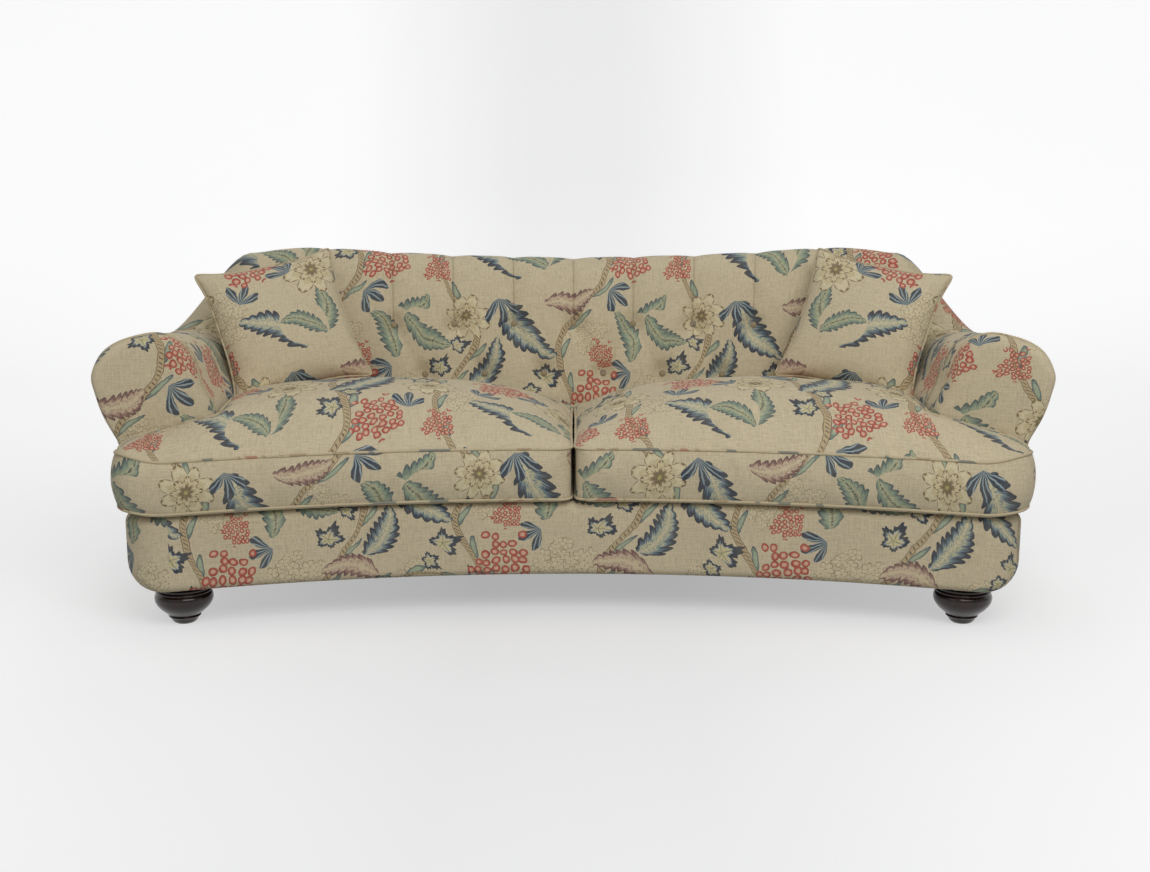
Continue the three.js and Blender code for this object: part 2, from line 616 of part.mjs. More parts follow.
for (const [word, side] of SIDES) {
  const railX = spread(side, SIDE_RAIL_X, SIDE_RAIL_X + BOARD);
  addBoard(`side_rail_${word}`, 'hardwood', ...railX, frontRailRear, cornerPostFront, POST_BOTTOM, RAIL_TOP);
  addBoard(
    `arm_post_${word}`, 'hardwood', ...railX, armPostFront, armPostRear,
    RAIL_TOP + CLEAR, ARM_RAIL_BOTTOM - CLEAR,
  );
  const armRailX = spread(side, ARM_RAIL_X, ARM_RAIL_X + ARM_RAIL_WIDTH);
  addBoard(
    `arm_rail_${word}`, 'hardwood', ...armRailX, armPostFront, cornerPostFront,
    ARM_RAIL_BOTTOM, ARM_RAIL_BOTTOM + ARM_RAIL_HEIGHT,
  );
  const halfPost = CORNER_POST_SIZE / 2;
  const postX = spread(side, CORNER_POST_X - halfPost, CORNER_POST_X + halfPost);
  addBoard(
    `corner_post_${word}`, 'hardwood', ...postX,
    () => CORNER_POST_Y - halfPost, () => CORNER_POST_Y + halfPost,
    POST_BOTTOM, CORNER_POST_TOP,
  );
  const postMiddle = TOP_RAIL_HALF_LENGTH * BACK_POST_SHARE;
  const backPostX = spread(side, postMiddle - BACK_POST_WIDTH / 2, postMiddle + BACK_POST_WIDTH / 2);
  addBoard(
    `back_post_${word}`, 'hardwood', ...backPostX,
    (x) => arcY(x, BACK_RAIL_SETBACK), (x) => arcY(x, BACK_RAIL_SETBACK + BOARD),
    RAIL_TOP + CLEAR, TOP_RAIL_BOTTOM - CLEAR,
  );
  const stretcherMiddle = BACK_RAIL_HALF_LENGTH * STRETCHER_SHARE;
  const stretcherX = spread(side, stretcherMiddle - BOARD / 2, stretcherMiddle + BOARD / 2);
  addBoard(
    `seat_stretcher_${word}`, 'hardwood', ...stretcherX,
    frontRailRear, (x) => arcY(x, BACK_RAIL_SETBACK - CLEAR),
    FRAME_BOTTOM + STRETCHER_RISE, FRAME_BOTTOM + STRETCHER_RISE + STRETCHER_HEIGHT,
  );
}

// Flat piece cut from a plan outline, with round holes
function addFlatPiece(name, slot, outline, holes, bottom, thickness) {
  const contour = outline.map(([x, y]) => new THREE.Vector2(x, y));
  if (THREE.ShapeUtils.isClockWise(contour)) contour.reverse();
  const shape = new THREE.Shape(contour);
  for (const [x, y, radius] of holes) {
    const reach = radius / Math.cos(Math.PI / HOLE_SEGMENTS);
    const hole = Array.from({ length: HOLE_SEGMENTS }, (_, i) => {
      const angle = (-2 * Math.PI * i) / HOLE_SEGMENTS;
      return new THREE.Vector2(x + reach * Math.cos(angle), y + reach * Math.sin(angle));
    });
    shape.holes.push(new THREE.Path(hole));
  }
  const geometry = new THREE.ExtrudeGeometry(shape, { depth: thickness, bevelEnabled: false, steps: 1 });
  geometry.translate(0, 0, bottom);
  const mesh = new THREE.Mesh(geometry, new THREE.MeshStandardMaterial({ color: COLOURS[slot], name: slot }));
  mesh.name = name;
  group.add(mesh);
}

// Corner blocks carry the feet
const frontFootX = SIDE_RAIL_X - FRONT_FOOT_INSET;
const frontFootY = arcY(frontFootX, FRONT_FOOT_SETBACK);
const rearFootX = SIDE_RAIL_X - REAR_FOOT_INSET;
const FEET = SIDES.flatMap(([word, side]) => [
  { name: `front_${word}`, side, x: side * frontFootX, y: frontFootY, front: true },
  { name: `rear_${word}`, side, x: side * rearFootX, y: CORNER_POST_Y - REAR_FOOT_AHEAD, front: false },
]);
const blockX = SIDE_RAIL_X - CLEAR;
for (const foot of FEET) {
  const alongRail = BLOCK_SHARES.map((share) => {
    const x = blockX - BLOCK_LEG * share;
    return [x, frontRailRear(x)];
  });
  const frontBlock = [...alongRail, [blockX, frontRailRear(blockX) + BLOCK_LEG]];
  const rearBlock = REAR_BLOCK.map(([inward, back]) => [blockX + inward, CORNER_POST_Y + back]);
  const outline = (foot.front ? frontBlock : rearBlock).map(([x, y]) => [foot.side * x, y]);
  addFlatPiece(
    `corner_block_${foot.name}`, 'hardwood', outline, [[foot.x, foot.y, BOLT_RADIUS + CLEAR]],
    FRAME_BOTTOM, BLOCK_HEIGHT,
  );
}

// Turned bun feet with a blind bore for the bolt; [radius, height] as shares of the foot's height
const COLLAR_TOP = FRAME_BOTTOM - CLEAR;
const BOLT_TIP = FRAME_BOTTOM - BOLT_REACH;
const FOOT_TOP_SHARE = 0.63;
const FOOT_SHARES = [
  [0, 0], [0.24, 0], [0.28, 0.05], [0.33, 0.09], [0.33, 0.14], [0.29, 0.18], [0.46, 0.3], [0.63, 0.44],
  [0.7, 0.6], [0.67, 0.76], [0.58, 0.84], [0.64, 0.9],
];
const FOOT_PROFILE = [
  ...FOOT_SHARES.map(([out, up]) => [out * BASE_BOTTOM, up * BASE_BOTTOM]),
  [FOOT_TOP_SHARE * BASE_BOTTOM, BASE_BOTTOM - CLEAR], [FOOT_COLLAR_RADIUS, BASE_BOTTOM - CLEAR],
  [FOOT_COLLAR_RADIUS, COLLAR_TOP], [BOLT_RADIUS + CLEAR, COLLAR_TOP],
  [BOLT_RADIUS + CLEAR, BOLT_TIP - CLEAR], [0, BOLT_TIP - CLEAR],
];
const BLOCK_TOP = FRAME_BOTTOM + BLOCK_HEIGHT;
const HEAD_BOTTOM = BLOCK_TOP + CLEAR;
const HEAD_TOP = HEAD_BOTTOM + BOLT_HEAD_HEIGHT;
const BOLT_PROFILE = [
  [0, BOLT_TIP], [BOLT_RADIUS, BOLT_TIP], [BOLT_RADIUS, HEAD_BOTTOM],
  [BOLT_HEAD_RADIUS, HEAD_BOTTOM], [BOLT_HEAD_RADIUS, HEAD_TOP], [0, HEAD_TOP],
];

// Turned solid; profile starts and ends on the axis
function addTurned(name, slot, profile, segments, x, y) {
  const middle = profile.slice(1, -1);
  const points = [[x, y, profile[0][1]], [x, y, profile[profile.length - 1][1]]];
  const rings = middle.map(([radius, z]) => Array.from({ length: segments }, (_, i) => {
    const angle = (2 * Math.PI * i) / segments;
    return [x + radius * Math.cos(angle), y + radius * Math.sin(angle), z];
  }));
  points.push(...rings.flat());
  const triangles = joinRings(rings, 2, false);
  const last = 2 + (rings.length - 1) * segments;
  for (let i = 0; i < segments; i += 1) {
    const next = (i + 1) % segments;
    triangles.push([0, 2 + next, 2 + i], [1, last + i, last + next]);
  }
  addSolid(name, slot, points, triangles);
}

for (const foot of FEET) {
  addTurned(`foot_${foot.name}`, 'stained_wood', FOOT_PROFILE, FOOT_SEGMENTS, foot.x, foot.y);
  addTurned(`foot_bolt_${foot.name}`, 'steel', BOLT_PROFILE, BOLT_SEGMENTS, foot.x, foot.y);
}

// Deck on the springs and lining under the frame
const rearEdge = (x, offset) => {
  const inside = WRAP_CORNER_RADIUS + offset;
  const reach = Math.abs(x) - CORNER_X;
  const corner = reach > 0 && reach < inside ? CORNER_Y + Math.sqrt(inside ** 2 - reach ** 2) : Infinity;
  return Math.min(arcY(x, WRAP_SETBACK + offset), corner);
};
const deckBottom = SEAT_TOP - DECK_THICKNESS;
const deckRings = Array.from({ length: DECK_STEPS + 1 }, (_, i) => {
  const x = mix(-DECK_HALF_WIDTH, DECK_HALF_WIDTH, i / DECK_STEPS);
  const [front, rear] = [arcY(x, BORDER_LIP + DECK_LAP), rearEdge(x, DECK_REAR_OFFSET)];
  return [[x, front, deckBottom], [x, rear, deckBottom], [x, rear, SEAT_TOP], [x, front, SEAT_TOP]];
});
addLoft('seat_deck', 'webbing', deckRings, rectangle(0, 1, 0, 1));

const liningOutline = borderStations().map(({ x, y, normal, ends }) => {
  const inset = mix(BORDER_FRONT_BOTTOM_ROUND, BORDER_SIDE_BOTTOM_ROUND, ends) + LINING_MARGIN;
  return [x - normal[0] * inset, y - normal[1] * inset];
});
addFlatPiece(
  'dust_cover', 'lining', liningOutline, FEET.map(({ x, y }) => [x, y, FOOT_COLLAR_RADIUS + CLEAR]),
  FRAME_BOTTOM - CLEAR - LINING_THICKNESS, LINING_THICKNESS,
);

// Serpentine seat springs, square-section wire, front rail to back rail
function addSpring(name, x) {
  const front = arcY(x, FRONT_RAIL_SETBACK + BOARD / 2);
  const rear = arcY(x, BACK_RAIL_SETBACK + BOARD / 2);
  const pitch = (rear - front) / (SPRING_BENDS + 1);
  const restZ = RAIL_TOP + CLEAR + SPRING_WIRE_RADIUS;
  const path = [[x, front]];
  for (let i = 1; i <= SPRING_BENDS; i += 1) {
    const lean = i % 2 ? 1 : -1;
    for (const [out, ahead] of SPRING_BEND_SHARES) {
      path.push([x + lean * out * SPRING_HALF_WIDTH, front + pitch * (i + ahead)]);
    }
  }
  path.push([x, rear]);
  const rings = path.map(([px, py], i) => {
    const before = path[Math.max(i - 1, 0)];
    const after = path[Math.min(i + 1, path.length - 1)];
    const run = Math.hypot(after[0] - before[0], after[1] - before[1]);
    const across = [-(after[1] - before[1]) / run, (after[0] - before[0]) / run];
    const z = restZ + SPRING_RISE * Math.sin((Math.PI * (py - front)) / (rear - front));
    return [[1, 0], [0, 1], [-1, 0], [0, -1]].map(([wide, high]) => [
      px + across[0] * wide * SPRING_WIRE_RADIUS, py + across[1] * wide * SPRING_WIRE_RADIUS,
      z + high * SPRING_WIRE_RADIUS,
    ]);
  });
  addLoft(name, 'steel', rings, rectangle(0, 1, 0, 1));
}
const springReach = BACK_RAIL_HALF_LENGTH - SPRING_END_MARGIN;
for (let i = 0; i < SPRING_COUNT; i += 1) {
  addSpring(`seat_spring_${i + 1}`, mix(-springReach, springReach, i / (SPRING_COUNT - 1)));
}

// Elastic straps behind the back pad, tuck rail to top rail
const strapReach = TOP_RAIL_HALF_LENGTH * STRAP_REACH_SHARE;
for (let i = 0; i < STRAP_COUNT; i += 1) {
  const x = mix(-strapReach, strapReach, i / (STRAP_COUNT - 1));
  addBoard(
    `back_strap_${i + 1}`, 'webbing', x - STRAP_WIDTH / 2, x + STRAP_WIDTH / 2,
    (at) => arcY(at, WRAP_SETBACK + STRAP_OFFSET),
    (at) => arcY(at, WRAP_SETBACK + STRAP_OFFSET + STRAP_THICKNESS),
    TUCK_RAIL_BOTTOM + TUCK_RAIL_HEIGHT + CLEAR, TOP_RAIL_BOTTOM + TOP_RAIL_HEIGHT,
  );
}

// Rounded outline from corners given as [x, setback, radius]
function roundedOutline(corners) {
  const points = [];
  const count = corners.length;
  for (let i = 0; i < count; i += 1) {
    const [x, setback, radius] = corners[i];
    const [nextX, nextSetback, nextRadius] = corners[(i + 1) % count];
    const corner = new THREE.Vector2(x, setback);
    const from = new THREE.Vector2(...corners[(i + count - 1) % count]).sub(corner).normalize();
    const to = new THREE.Vector2(nextX, nextSetback).sub(corner).normalize();
    for (const share of ROUND_SHARES) {
      const [a, b] = [(1 - share) ** 2, share ** 2];
      points.push([x + radius * (from.x * a + to.x * b), setback + radius * (from.y * a + to.y * b)]);
    }
    const gap = Math.hypot(nextX - x, nextSetback - setback) - radius - nextRadius;
    const steps = Math.round(gap / OUTLINE_STEP);
    const start = points[points.length - 1];
    const end = [nextX - to.x * nextRadius, nextSetback - to.y * nextRadius];
    for (let j = 1; j < steps; j += 1) {
      points.push([mix(start[0], end[0], j / steps), mix(start[1], end[1], j / steps)]);
    }
  }
  return points;
}

// T-shaped seat cushions with an ear in front of each arm: [x, setback, corner radius]
const CUSHION_ARM_X = WRAP_HALF_WIDTH - ARM_PAD_FACE - CUSHION_GAP;
const CUSHION_REAR_SETBACK = WRAP_SETBACK - BACK_PAD_FACE - CUSHION_REAR_GAP;
const CUSHION_CORNERS = [
  [CUSHION_INNER_X, -CUSHION_OVERHANG, CUSHION_CORNER_RADII.innerFront],
  [CUSHION_HALF_SPAN, -CUSHION_OVERHANG, CUSHION_CORNER_RADII.outerFront],
  [CUSHION_HALF_SPAN, CUSHION_EAR_SETBACK, CUSHION_CORNER_RADII.ear],
  [CUSHION_ARM_X, CUSHION_EAR_SETBACK, CUSHION_CORNER_RADII.arm],
  [CUSHION_ARM_X, CUSHION_REAR_SETBACK, CUSHION_CORNER_RADII.outerRear],
  [CUSHION_INNER_X, CUSHION_REAR_SETBACK, CUSHION_CORNER_RADII.innerRear],
];
const cushionMidX = (CUSHION_INNER_X + CUSHION_HALF_SPAN) / 2;
const cushionHalfX = (CUSHION_HALF_SPAN - CUSHION_INNER_X) / 2;
const cushionMidSetback = (CUSHION_REAR_SETBACK - CUSHION_OVERHANG) / 2;
const cushionHalfSetback = (CUSHION_REAR_SETBACK + CUSHION_OVERHANG) / 2;

function crownHeight(x, setback, scale) {
  const across = Math.min(Math.abs(x - cushionMidX) / cushionHalfX, 1);
  const along = Math.min(Math.abs(setback - cushionMidSetback) / cushionHalfSetback, 1);
  const power = CROWN_SHARE_POWERS;
  const crown = ((1 - across ** power.across) * (1 - along ** power.along)) ** power.fullness;
  return CUSHION_CROWN * crown * Math.sqrt(1 - scale ** power.rim);
}

// Cushion wall with a welt at both edges: [inset, height from the wall's foot or upper welt],
// as shares of the band that a welt takes
const CUSHION_BOTTOM = SEAT_TOP + CLEAR;
const LOWER_WALL_SHARES = [[0.8, 0], [0.15, 0.2], [0, 0.45], [0.2, 0.9]];
const UPPER_WALL_SHARES = [[0.2, -0.55], [0, -0.15], [0.25, 0.15]];
const MIDDLE_INSET = 1;
const wallRings = (shares, foot) => shares.map(([inset, rise]) => (
  [inset * CUSHION_WELT_BAND, foot + rise * CUSHION_WELT_BAND]
));
const WALL_RINGS = [
  ...wallRings(LOWER_WALL_SHARES, CUSHION_BOTTOM),
  [MIDDLE_INSET, (CUSHION_BOTTOM + CUSHION_WELT_Z) / 2],
  ...wallRings(UPPER_WALL_SHARES, CUSHION_WELT_Z),
];

for (const [word, side] of SIDES) {
  const outline = roundedOutline(CUSHION_CORNERS);
  const place = (x, setback, z) => [side * x, arcY(x, setback), z];
  const toward = ([x, setback], scale) => [
    mix(CUSHION_CENTRE_X, x, scale), mix(CUSHION_CENTRE_SETBACK, setback, scale),
  ];
  const wall = WALL_RINGS.map(([inset, z]) => outline.map((point) => {
    const reach = Math.hypot(point[0] - CUSHION_CENTRE_X, point[1] - CUSHION_CENTRE_SETBACK);
    return place(...toward(point, 1 - inset / reach), z);
  }));
  const onCrown = (x, setback, scale) => place(x, setback, CUSHION_WELT_TOP + crownHeight(x, setback, scale));
  const crown = CROWN_SHARES.map((scale) => outline.map((point) => onCrown(...toward(point, scale), scale)));
  const rings = [...wall, ...crown];
  const count = outline.length;
  const points = rings.flat();
  const triangles = joinRings(rings, 0, false);
  const centre = [CUSHION_CENTRE_X, CUSHION_CENTRE_SETBACK];
  points.push(place(...centre, CUSHION_BOTTOM), onCrown(...centre, 0));
  const last = (rings.length - 1) * count;
  for (let j = 0; j < count; j += 1) {
    const next = (j + 1) % count;
    triangles.push([points.length - 2, next, j], [points.length - 1, last + j, last + next]);
  }
  addSolid(`seat_cushion_${word}`, 'cushion_cover', points, triangles);
}

// Knife-edge scatter cushions leaning into the corners
const radians = THREE.MathUtils.degToRad;
const SCATTER_PLACE = [
  WRAP_HALF_WIDTH - SCATTER_HALF - SCATTER_SIDE_INSET,
  WRAP_SETBACK - SCATTER_AHEAD,
  SEAT_TOP + SCATTER_HALF + SCATTER_RISE,
];
for (const [word, side] of SIDES) {
  const turn = new THREE.Matrix4().makeRotationZ(radians(SCATTER_YAW_DEGREES))
    .multiply(new THREE.Matrix4().makeRotationX(radians(-SCATTER_LEAN_DEGREES)))
    .multiply(new THREE.Matrix4().makeRotationY(radians(SCATTER_ROLL_DEGREES)));
  const place = (across, out, up) => {
    const [x, y, z] = new THREE.Vector3(across, out, up).applyMatrix4(turn).toArray();
    return [side * -(x - SCATTER_PLACE[0]), y + SCATTER_PLACE[1], z + SCATTER_PLACE[2]];
  };
  const pull = (share) => 1 - SCATTER_PULL_SHARE * (1 - share * share);
  const points = [];
  const index = new Map();
  const vertex = (i, j, face) => {
    const rim = i === 0 || j === 0 || i === SCATTER_GRID || j === SCATTER_GRID;
    const key = `${i},${j},${rim ? 0 : face}`;
    if (!index.has(key)) {
      const [u, v] = [(2 * i) / SCATTER_GRID - 1, (2 * j) / SCATTER_GRID - 1];
      const half = (SCATTER_THICKNESS / 2) * Math.sqrt((1 - u * u) * (1 - v * v));
      index.set(key, points.length);
      points.push(place(SCATTER_HALF * u * pull(v), rim ? 0 : face * half, SCATTER_HALF * v * pull(u)));
    }
    return index.get(key);
  };
  const triangles = [];
  for (const face of [-1, 1]) {
    for (let i = 0; i < SCATTER_GRID; i += 1) {
      for (let j = 0; j < SCATTER_GRID; j += 1) {
        const cell = [[i, j], [i + 1, j], [i + 1, j + 1], [i, j + 1]];
        const [a, b, c, d] = cell.map(([across, up]) => vertex(across, up, face));
        const halves = (i + j) % 2 ? [[a, b, d], [b, c, d]] : [[a, b, c], [a, c, d]];
        triangles.push(...halves.map(([p, q, r]) => (face < 0 ? [p, q, r] : [p, r, q])));
      }
    }
  }
  addSolid(`scatter_cushion_${word}`, 'scatter_cover', points, triangles);
}

// Ground the object and centre it on its own bounding box
const bounds = new THREE.Box3().setFromObject(group);
const middle = bounds.getCenter(new THREE.Vector3());
for (const mesh of group.children) mesh.geometry.translate(-middle.x, -middle.y, -bounds.min.z);

export default group;
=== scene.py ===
"""Cabriole sofa: printed linen upholstery, loose cushions, turned feet and a plain studio."""
import json
import math

import bpy
import numpy as np
from mathutils import Matrix, Vector
from mathutils.geometry import delaunay_2d_cdt


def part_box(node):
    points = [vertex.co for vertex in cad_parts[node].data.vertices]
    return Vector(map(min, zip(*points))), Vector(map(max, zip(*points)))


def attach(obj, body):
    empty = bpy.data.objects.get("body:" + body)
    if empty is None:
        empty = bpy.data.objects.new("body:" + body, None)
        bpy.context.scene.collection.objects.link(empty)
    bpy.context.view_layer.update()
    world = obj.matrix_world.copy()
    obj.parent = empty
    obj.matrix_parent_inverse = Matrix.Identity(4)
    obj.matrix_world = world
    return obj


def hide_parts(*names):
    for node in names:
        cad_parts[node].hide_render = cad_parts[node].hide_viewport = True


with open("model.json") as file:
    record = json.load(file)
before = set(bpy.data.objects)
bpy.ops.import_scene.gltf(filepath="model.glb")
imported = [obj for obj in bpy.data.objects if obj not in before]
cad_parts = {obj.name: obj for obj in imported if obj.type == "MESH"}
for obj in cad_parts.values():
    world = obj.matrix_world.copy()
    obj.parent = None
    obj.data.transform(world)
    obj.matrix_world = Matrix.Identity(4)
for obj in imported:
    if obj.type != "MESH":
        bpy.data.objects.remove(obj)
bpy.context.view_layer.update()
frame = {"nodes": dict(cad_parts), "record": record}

bl_info = {
    "name": "Cabriole Sofa",
    "version": (1, 0, 0),
    "blender": (4, 5, 0),
    "location": "View3D > Sidebar > Sofa",
    "description": "Printed upholstery, cushions, feet and studio for a curved channel-back sofa",
    "category": "Object",
}

# Plan of the sofa in metres; a setback is measured behind the front border
CLEAR = 0.0003
TINY = 1e-9
CURVE_RADIUS = 3.05
HALF_BASE = 1.072
BASE_CORNER_RADIUS = 0.09
WRAP_SETBACK = 0.712
WRAP_HALF_WIDTH = 1.0
WRAP_CORNER_RADIUS = 0.17
FACING_SETBACK = 0.156
ARM_FRONT_SETBACK = 0.2
BORDER_REAR_OFFSET = 0.086
FRAME_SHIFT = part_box("base_border")[1].y - WRAP_SETBACK - BORDER_REAR_OFFSET

# Heights
BASE_BOTTOM = 0.1
SEAT_TOP = 0.286
PAD_BOTTOM = SEAT_TOP + CLEAR

# The wrapped back ends on the arm at this share of its length
SPLIT_SHARE = 0.45
CORNER_SHARE = 0.7
SECTION_TURN_SHARE = 0.05
FALL_END_SHARE = 0.8

# Sections of the pads, skin first and then the cavity: [offset, z]
SKIN_POINTS = 16
ARM_SECTION = np.array([
    [-130, 286.3], [-130, 360], [-129, 440], [-119, 505], [-92, 565], [-79, 610], [-64, 651], [-38, 680],
    [5, 695], [50, 690], [94, 676], [127, 651], [148, 606], [142, 560], [127, 505], [100, 445],
    [66, 455], [96, 540], [96, 600], [50, 640], [0, 636], [-38, 592], [-88, 455], [-92, 286.3],
]) / 1000
BACK_SECTION = np.array([
    [-112, 286.3], [-118, 360], [-116, 440], [-106, 505], [-92, 572], [-78, 640], [-62, 700], [-46, 750],
    [-24, 800], [6, 835], [36, 845], [66, 832], [84, 795], [88, 750], [88, 715], [86, 680],
    [66, 680], [66, 740], [58, 785], [34, 800], [4, 780], [-30, 700], [-62, 505], [-72, 286.3],
]) / 1000
ARM_SCOOP = 0.048
TOP_LINE = np.array([
    [0, 815], [330, 824], [500, 834], [680, 849], [760, 850], [840, 843], [870, 836],
]) / 1000

# Channels and buttons of the inside back
CHANNEL_WIDTH = 0.169
SEAM_REACH = 4
SEAM_END_SHARE = 0.25
CREASE_SPREAD_SHARE = 1 / 6
STITCH_SPREAD_SHARE = 0.2
STITCH_DEPTH_SHARE = 0.3
FOLD_SHARE = 0.3
FOLD_REACH = 0.045
SEAM_FAR = 0.05
PLEAT_OVER_POINTS = (7, 9)
PLEAT_FRONT_POINTS = 8
PLEAT_LAST_POINT = 12
PLEAT_FADE_POINTS = 2
PLEAT_OVER_SHARE = 0.5
UPPER_BUTTON_Z = 0.64
LOWER_BUTTON_Z = 0.505
PLEAT_BOTTOM_Z = 0.3
PLEAT_BOTTOM_FADE = 0.08
BUTTON_SPREAD = 0.024
BUTTON_HOLLOW = 0.009
BUTTON_RISE = 0.0025
BUTTON_LIFT_SHARE = 0.18

# Outside covers and base border
COVER_THICKNESS = 0.008
COVER_FLARE_SHARE_POWER = 1.6
ROLL_GAP = 0.001
BORDER_THICKNESS = 0.014
BORDER_TOP_ROUND = 0.024
BORDER_FRONT_BOTTOM_ROUND = 0.022
BORDER_SIDE_BOTTOM_ROUND = 0.07
BORDER_LIP = 0.04

# Seat cushions: [x, setback, corner reach]
CUSHION_CORNERS = np.array([
    [4, -18, 38], [1085, -18, 135], [1085, 152, 30], [866, 152, 14], [866, 588, 66], [4, 588, 30],
]) / 1000
CUSHION_BOTTOM = SEAT_TOP + CLEAR
CUSHION_WELT_Z = 0.422
CUSHION_CROWN = 0.112
CROWN_SHARE_POWERS = {"across": 2.5, "along": 2.6, "fullness": 0.8}
END_LIFT = 0.013
END_LIFT_REACH = 0.13

# Scatter cushions
SCATTER_HALF = 0.183
SCATTER_THICKNESS = 0.125
SCATTER_FULL_SHARE = 1.065
SCATTER_PULL_SHARE = 0.1
SCATTER_PULL_POWER = 3
SCATTER_BLUNT_SHARE = 0.045
SCATTER_BLUNT_POWER = 12
SCATTER_SETTLE = 0.008
SCATTER_SINK = 0.006
SCATTER_PLACE = (0.768, 0.427, 0.672)
SCATTER_YAW_DEGREES = 22
SCATTER_LEAN_DEGREES = 28
SCATTER_ROLL_DEGREES = -10

# Feet: [radius, z]
FOOT_TURNINGS = [np.array(part) / 1000 for part in (
    [[24, 0], [28, 3], [32, 8], [35, 13], [38, 15.5], [39, 17.5], [37, 19.5]],
    [[37, 19.5], [47, 28], [60, 40], [68, 52], [70.5, 63], [69, 72], [65, 77.5]],
    [[65, 77.5], [67, 79], [67.5, 82], [64, 85]],
    [[64, 85], [66, 87], [66, 91], [63, 95], [63, 99.7]],
)]
FOOT_COLLAR = np.array([[36, 99.7], [36, 114.7], [5.3, 114.7], [5.3, 69.7]]) / 1000
FOOT_NAMES = ("front_left", "front_right", "rear_left", "rear_right")

SIDES = (("left", -1), ("right", 1))

# Photograph's camera
PHOTO_SIZE = (1150, 872)
FOCAL_PIXELS = 1597
CAMERA_PLACE = (0.004, -4.095, 1.222)
CAMERA_PITCH_DEGREES = 11.5
SENSOR_WIDTH = 36


def mix(a, b, share):
    return a + (b - a) * share


def steps_after(start, end, count):
    """Even steps from start to end, without the start itself."""
    return np.linspace(start, end, count + 1)[1:]


def smooth(value, low, high):
    share = np.clip((value - low) / (high - low), 0, 1)
    return share * share * (3 - 2 * share)


def arc_y(x, setback):
    """Plan distance behind the front border's middle, along the shared radius."""
    return np.sqrt((CURVE_RADIUS + setback) ** 2 - np.square(x)) - CURVE_RADIUS


CORNER_X = WRAP_HALF_WIDTH - WRAP_CORNER_RADIUS
CORNER_Y = float(arc_y(CORNER_X, WRAP_SETBACK - WRAP_CORNER_RADIUS))
CORNER_TURN = math.atan2(CORNER_Y + CURVE_RADIUS, CORNER_X)
BACK_END_X = CORNER_X + WRAP_CORNER_RADIUS * math.cos(CORNER_TURN)


def back_stations(x):
    """Stations [x, y, outward x, outward y, turn, along] on the curved back."""
    x = np.asarray(x, float)
    y = arc_y(x, WRAP_SETBACK)
    reach = CURVE_RADIUS + WRAP_SETBACK
    none = np.zeros_like(x)
    return np.stack([x, y, x / reach, (y + CURVE_RADIUS) / reach, none, none], axis=1)


def corner_stations(side, turn):
    turn = np.asarray(turn, float)
    angle = CORNER_TURN * (1 - turn)
    out = np.stack([side * np.cos(angle), np.sin(angle)], axis=1)
    place = np.array([side * CORNER_X, CORNER_Y]) + WRAP_CORNER_RADIUS * out
    return np.column_stack([place, out, turn, np.zeros_like(turn)])


def arm_stations(side, along):
    along = np.asarray(along, float)
    fixed = np.tile([side * WRAP_HALF_WIDTH, CORNER_Y, side, 0, 1], (len(along), 1))
    return np.column_stack([fixed, along])


def beside(stations, offset, z):
    """Points at offsets and heights beside each station, in the frame's metres."""
    x, y, out_x, out_y, _, along = (column[:, None] for column in stations.T)
    px = x + out_x * offset
    py = mix(y + out_y * offset, arc_y(px, ARM_FRONT_SETBACK), along)
    return np.stack([px, py + FRAME_SHIFT, np.broadcast_to(z, px.shape)], axis=2)


def arm_share(turn, along):
    on_arm = mix(CORNER_SHARE, 1, smooth(along, 0, SPLIT_SHARE))
    return np.where(along > 0, on_arm, CORNER_SHARE * smooth(turn, SECTION_TURN_SHARE, 1))


TOP_SMOOTHING = 0.03
TOP_SAMPLES = 7
ARM_SECTION_TOP = ARM_SECTION[:, 1].max()
BACK_SECTION_TOP = BACK_SECTION[:, 1].max()


def top_height(x, turn, along):
    """Height of the roll's top at each station."""
    reach = np.minimum(np.abs(x), TOP_LINE[-1, 0])
    shifts = np.linspace(-TOP_SMOOTHING, TOP_SMOOTHING, TOP_SAMPLES)
    line = np.mean([np.interp(np.abs(reach + shift), *TOP_LINE.T) for shift in shifts], axis=0)
    arm_top = ARM_SECTION_TOP - ARM_SCOOP * (1 - along)
    return np.where(along > 0, arm_top, mix(line, arm_top, smooth(turn, SECTION_TURN_SHARE, FALL_END_SHARE)))


def spline(points, steps):
    """Catmull-Rom curve through points, each span cut into equal parameter steps."""
    padded = np.vstack([2 * points[0] - points[1], points, 2 * points[-1] - points[-2]])
    share = (np.arange(steps) / steps)[:, None]
    spans = []
    for i in range(len(points) - 1):
        a, b, c, d = padded[i:i + 4]
        spans.append(0.5 * (
            2 * b + (c - a) * share + (2 * a - 5 * b + 4 * c - d) * share ** 2
            + (3 * b - a - 3 * c + d) * share ** 3
        ))
    return np.vstack([*spans, points[-1:]])


SKIN_STEPS = 9
SKIN_COUNT = (SKIN_POINTS - 1) * SKIN_STEPS + 1


def fine_section(section):
    return np.vstack([spline(section[:SKIN_POINTS], SKIN_STEPS), section[SKIN_POINTS:]])


def crease(distance, spread, stitched):
    """A fold: a soft valley, with a narrow stitched line at its bottom for the given share of its depth."""
    valley = np.exp(-np.square(distance / spread))
    line = np.exp(-np.abs(distance) / (STITCH_SPREAD_SHARE * spread))
    return mix(valley, line, stitched)


def from_seams(x):
    """Distance to the nearest seam and to the nearest channel middle."""
    seam = np.abs(x - np.round(x / CHANNEL_WIDTH) * CHANNEL_WIDTH)
    half = np.abs(x - (np.round(x / CHANNEL_WIDTH - 0.5) + 0.5) * CHANNEL_WIDTH)
    return seam, half


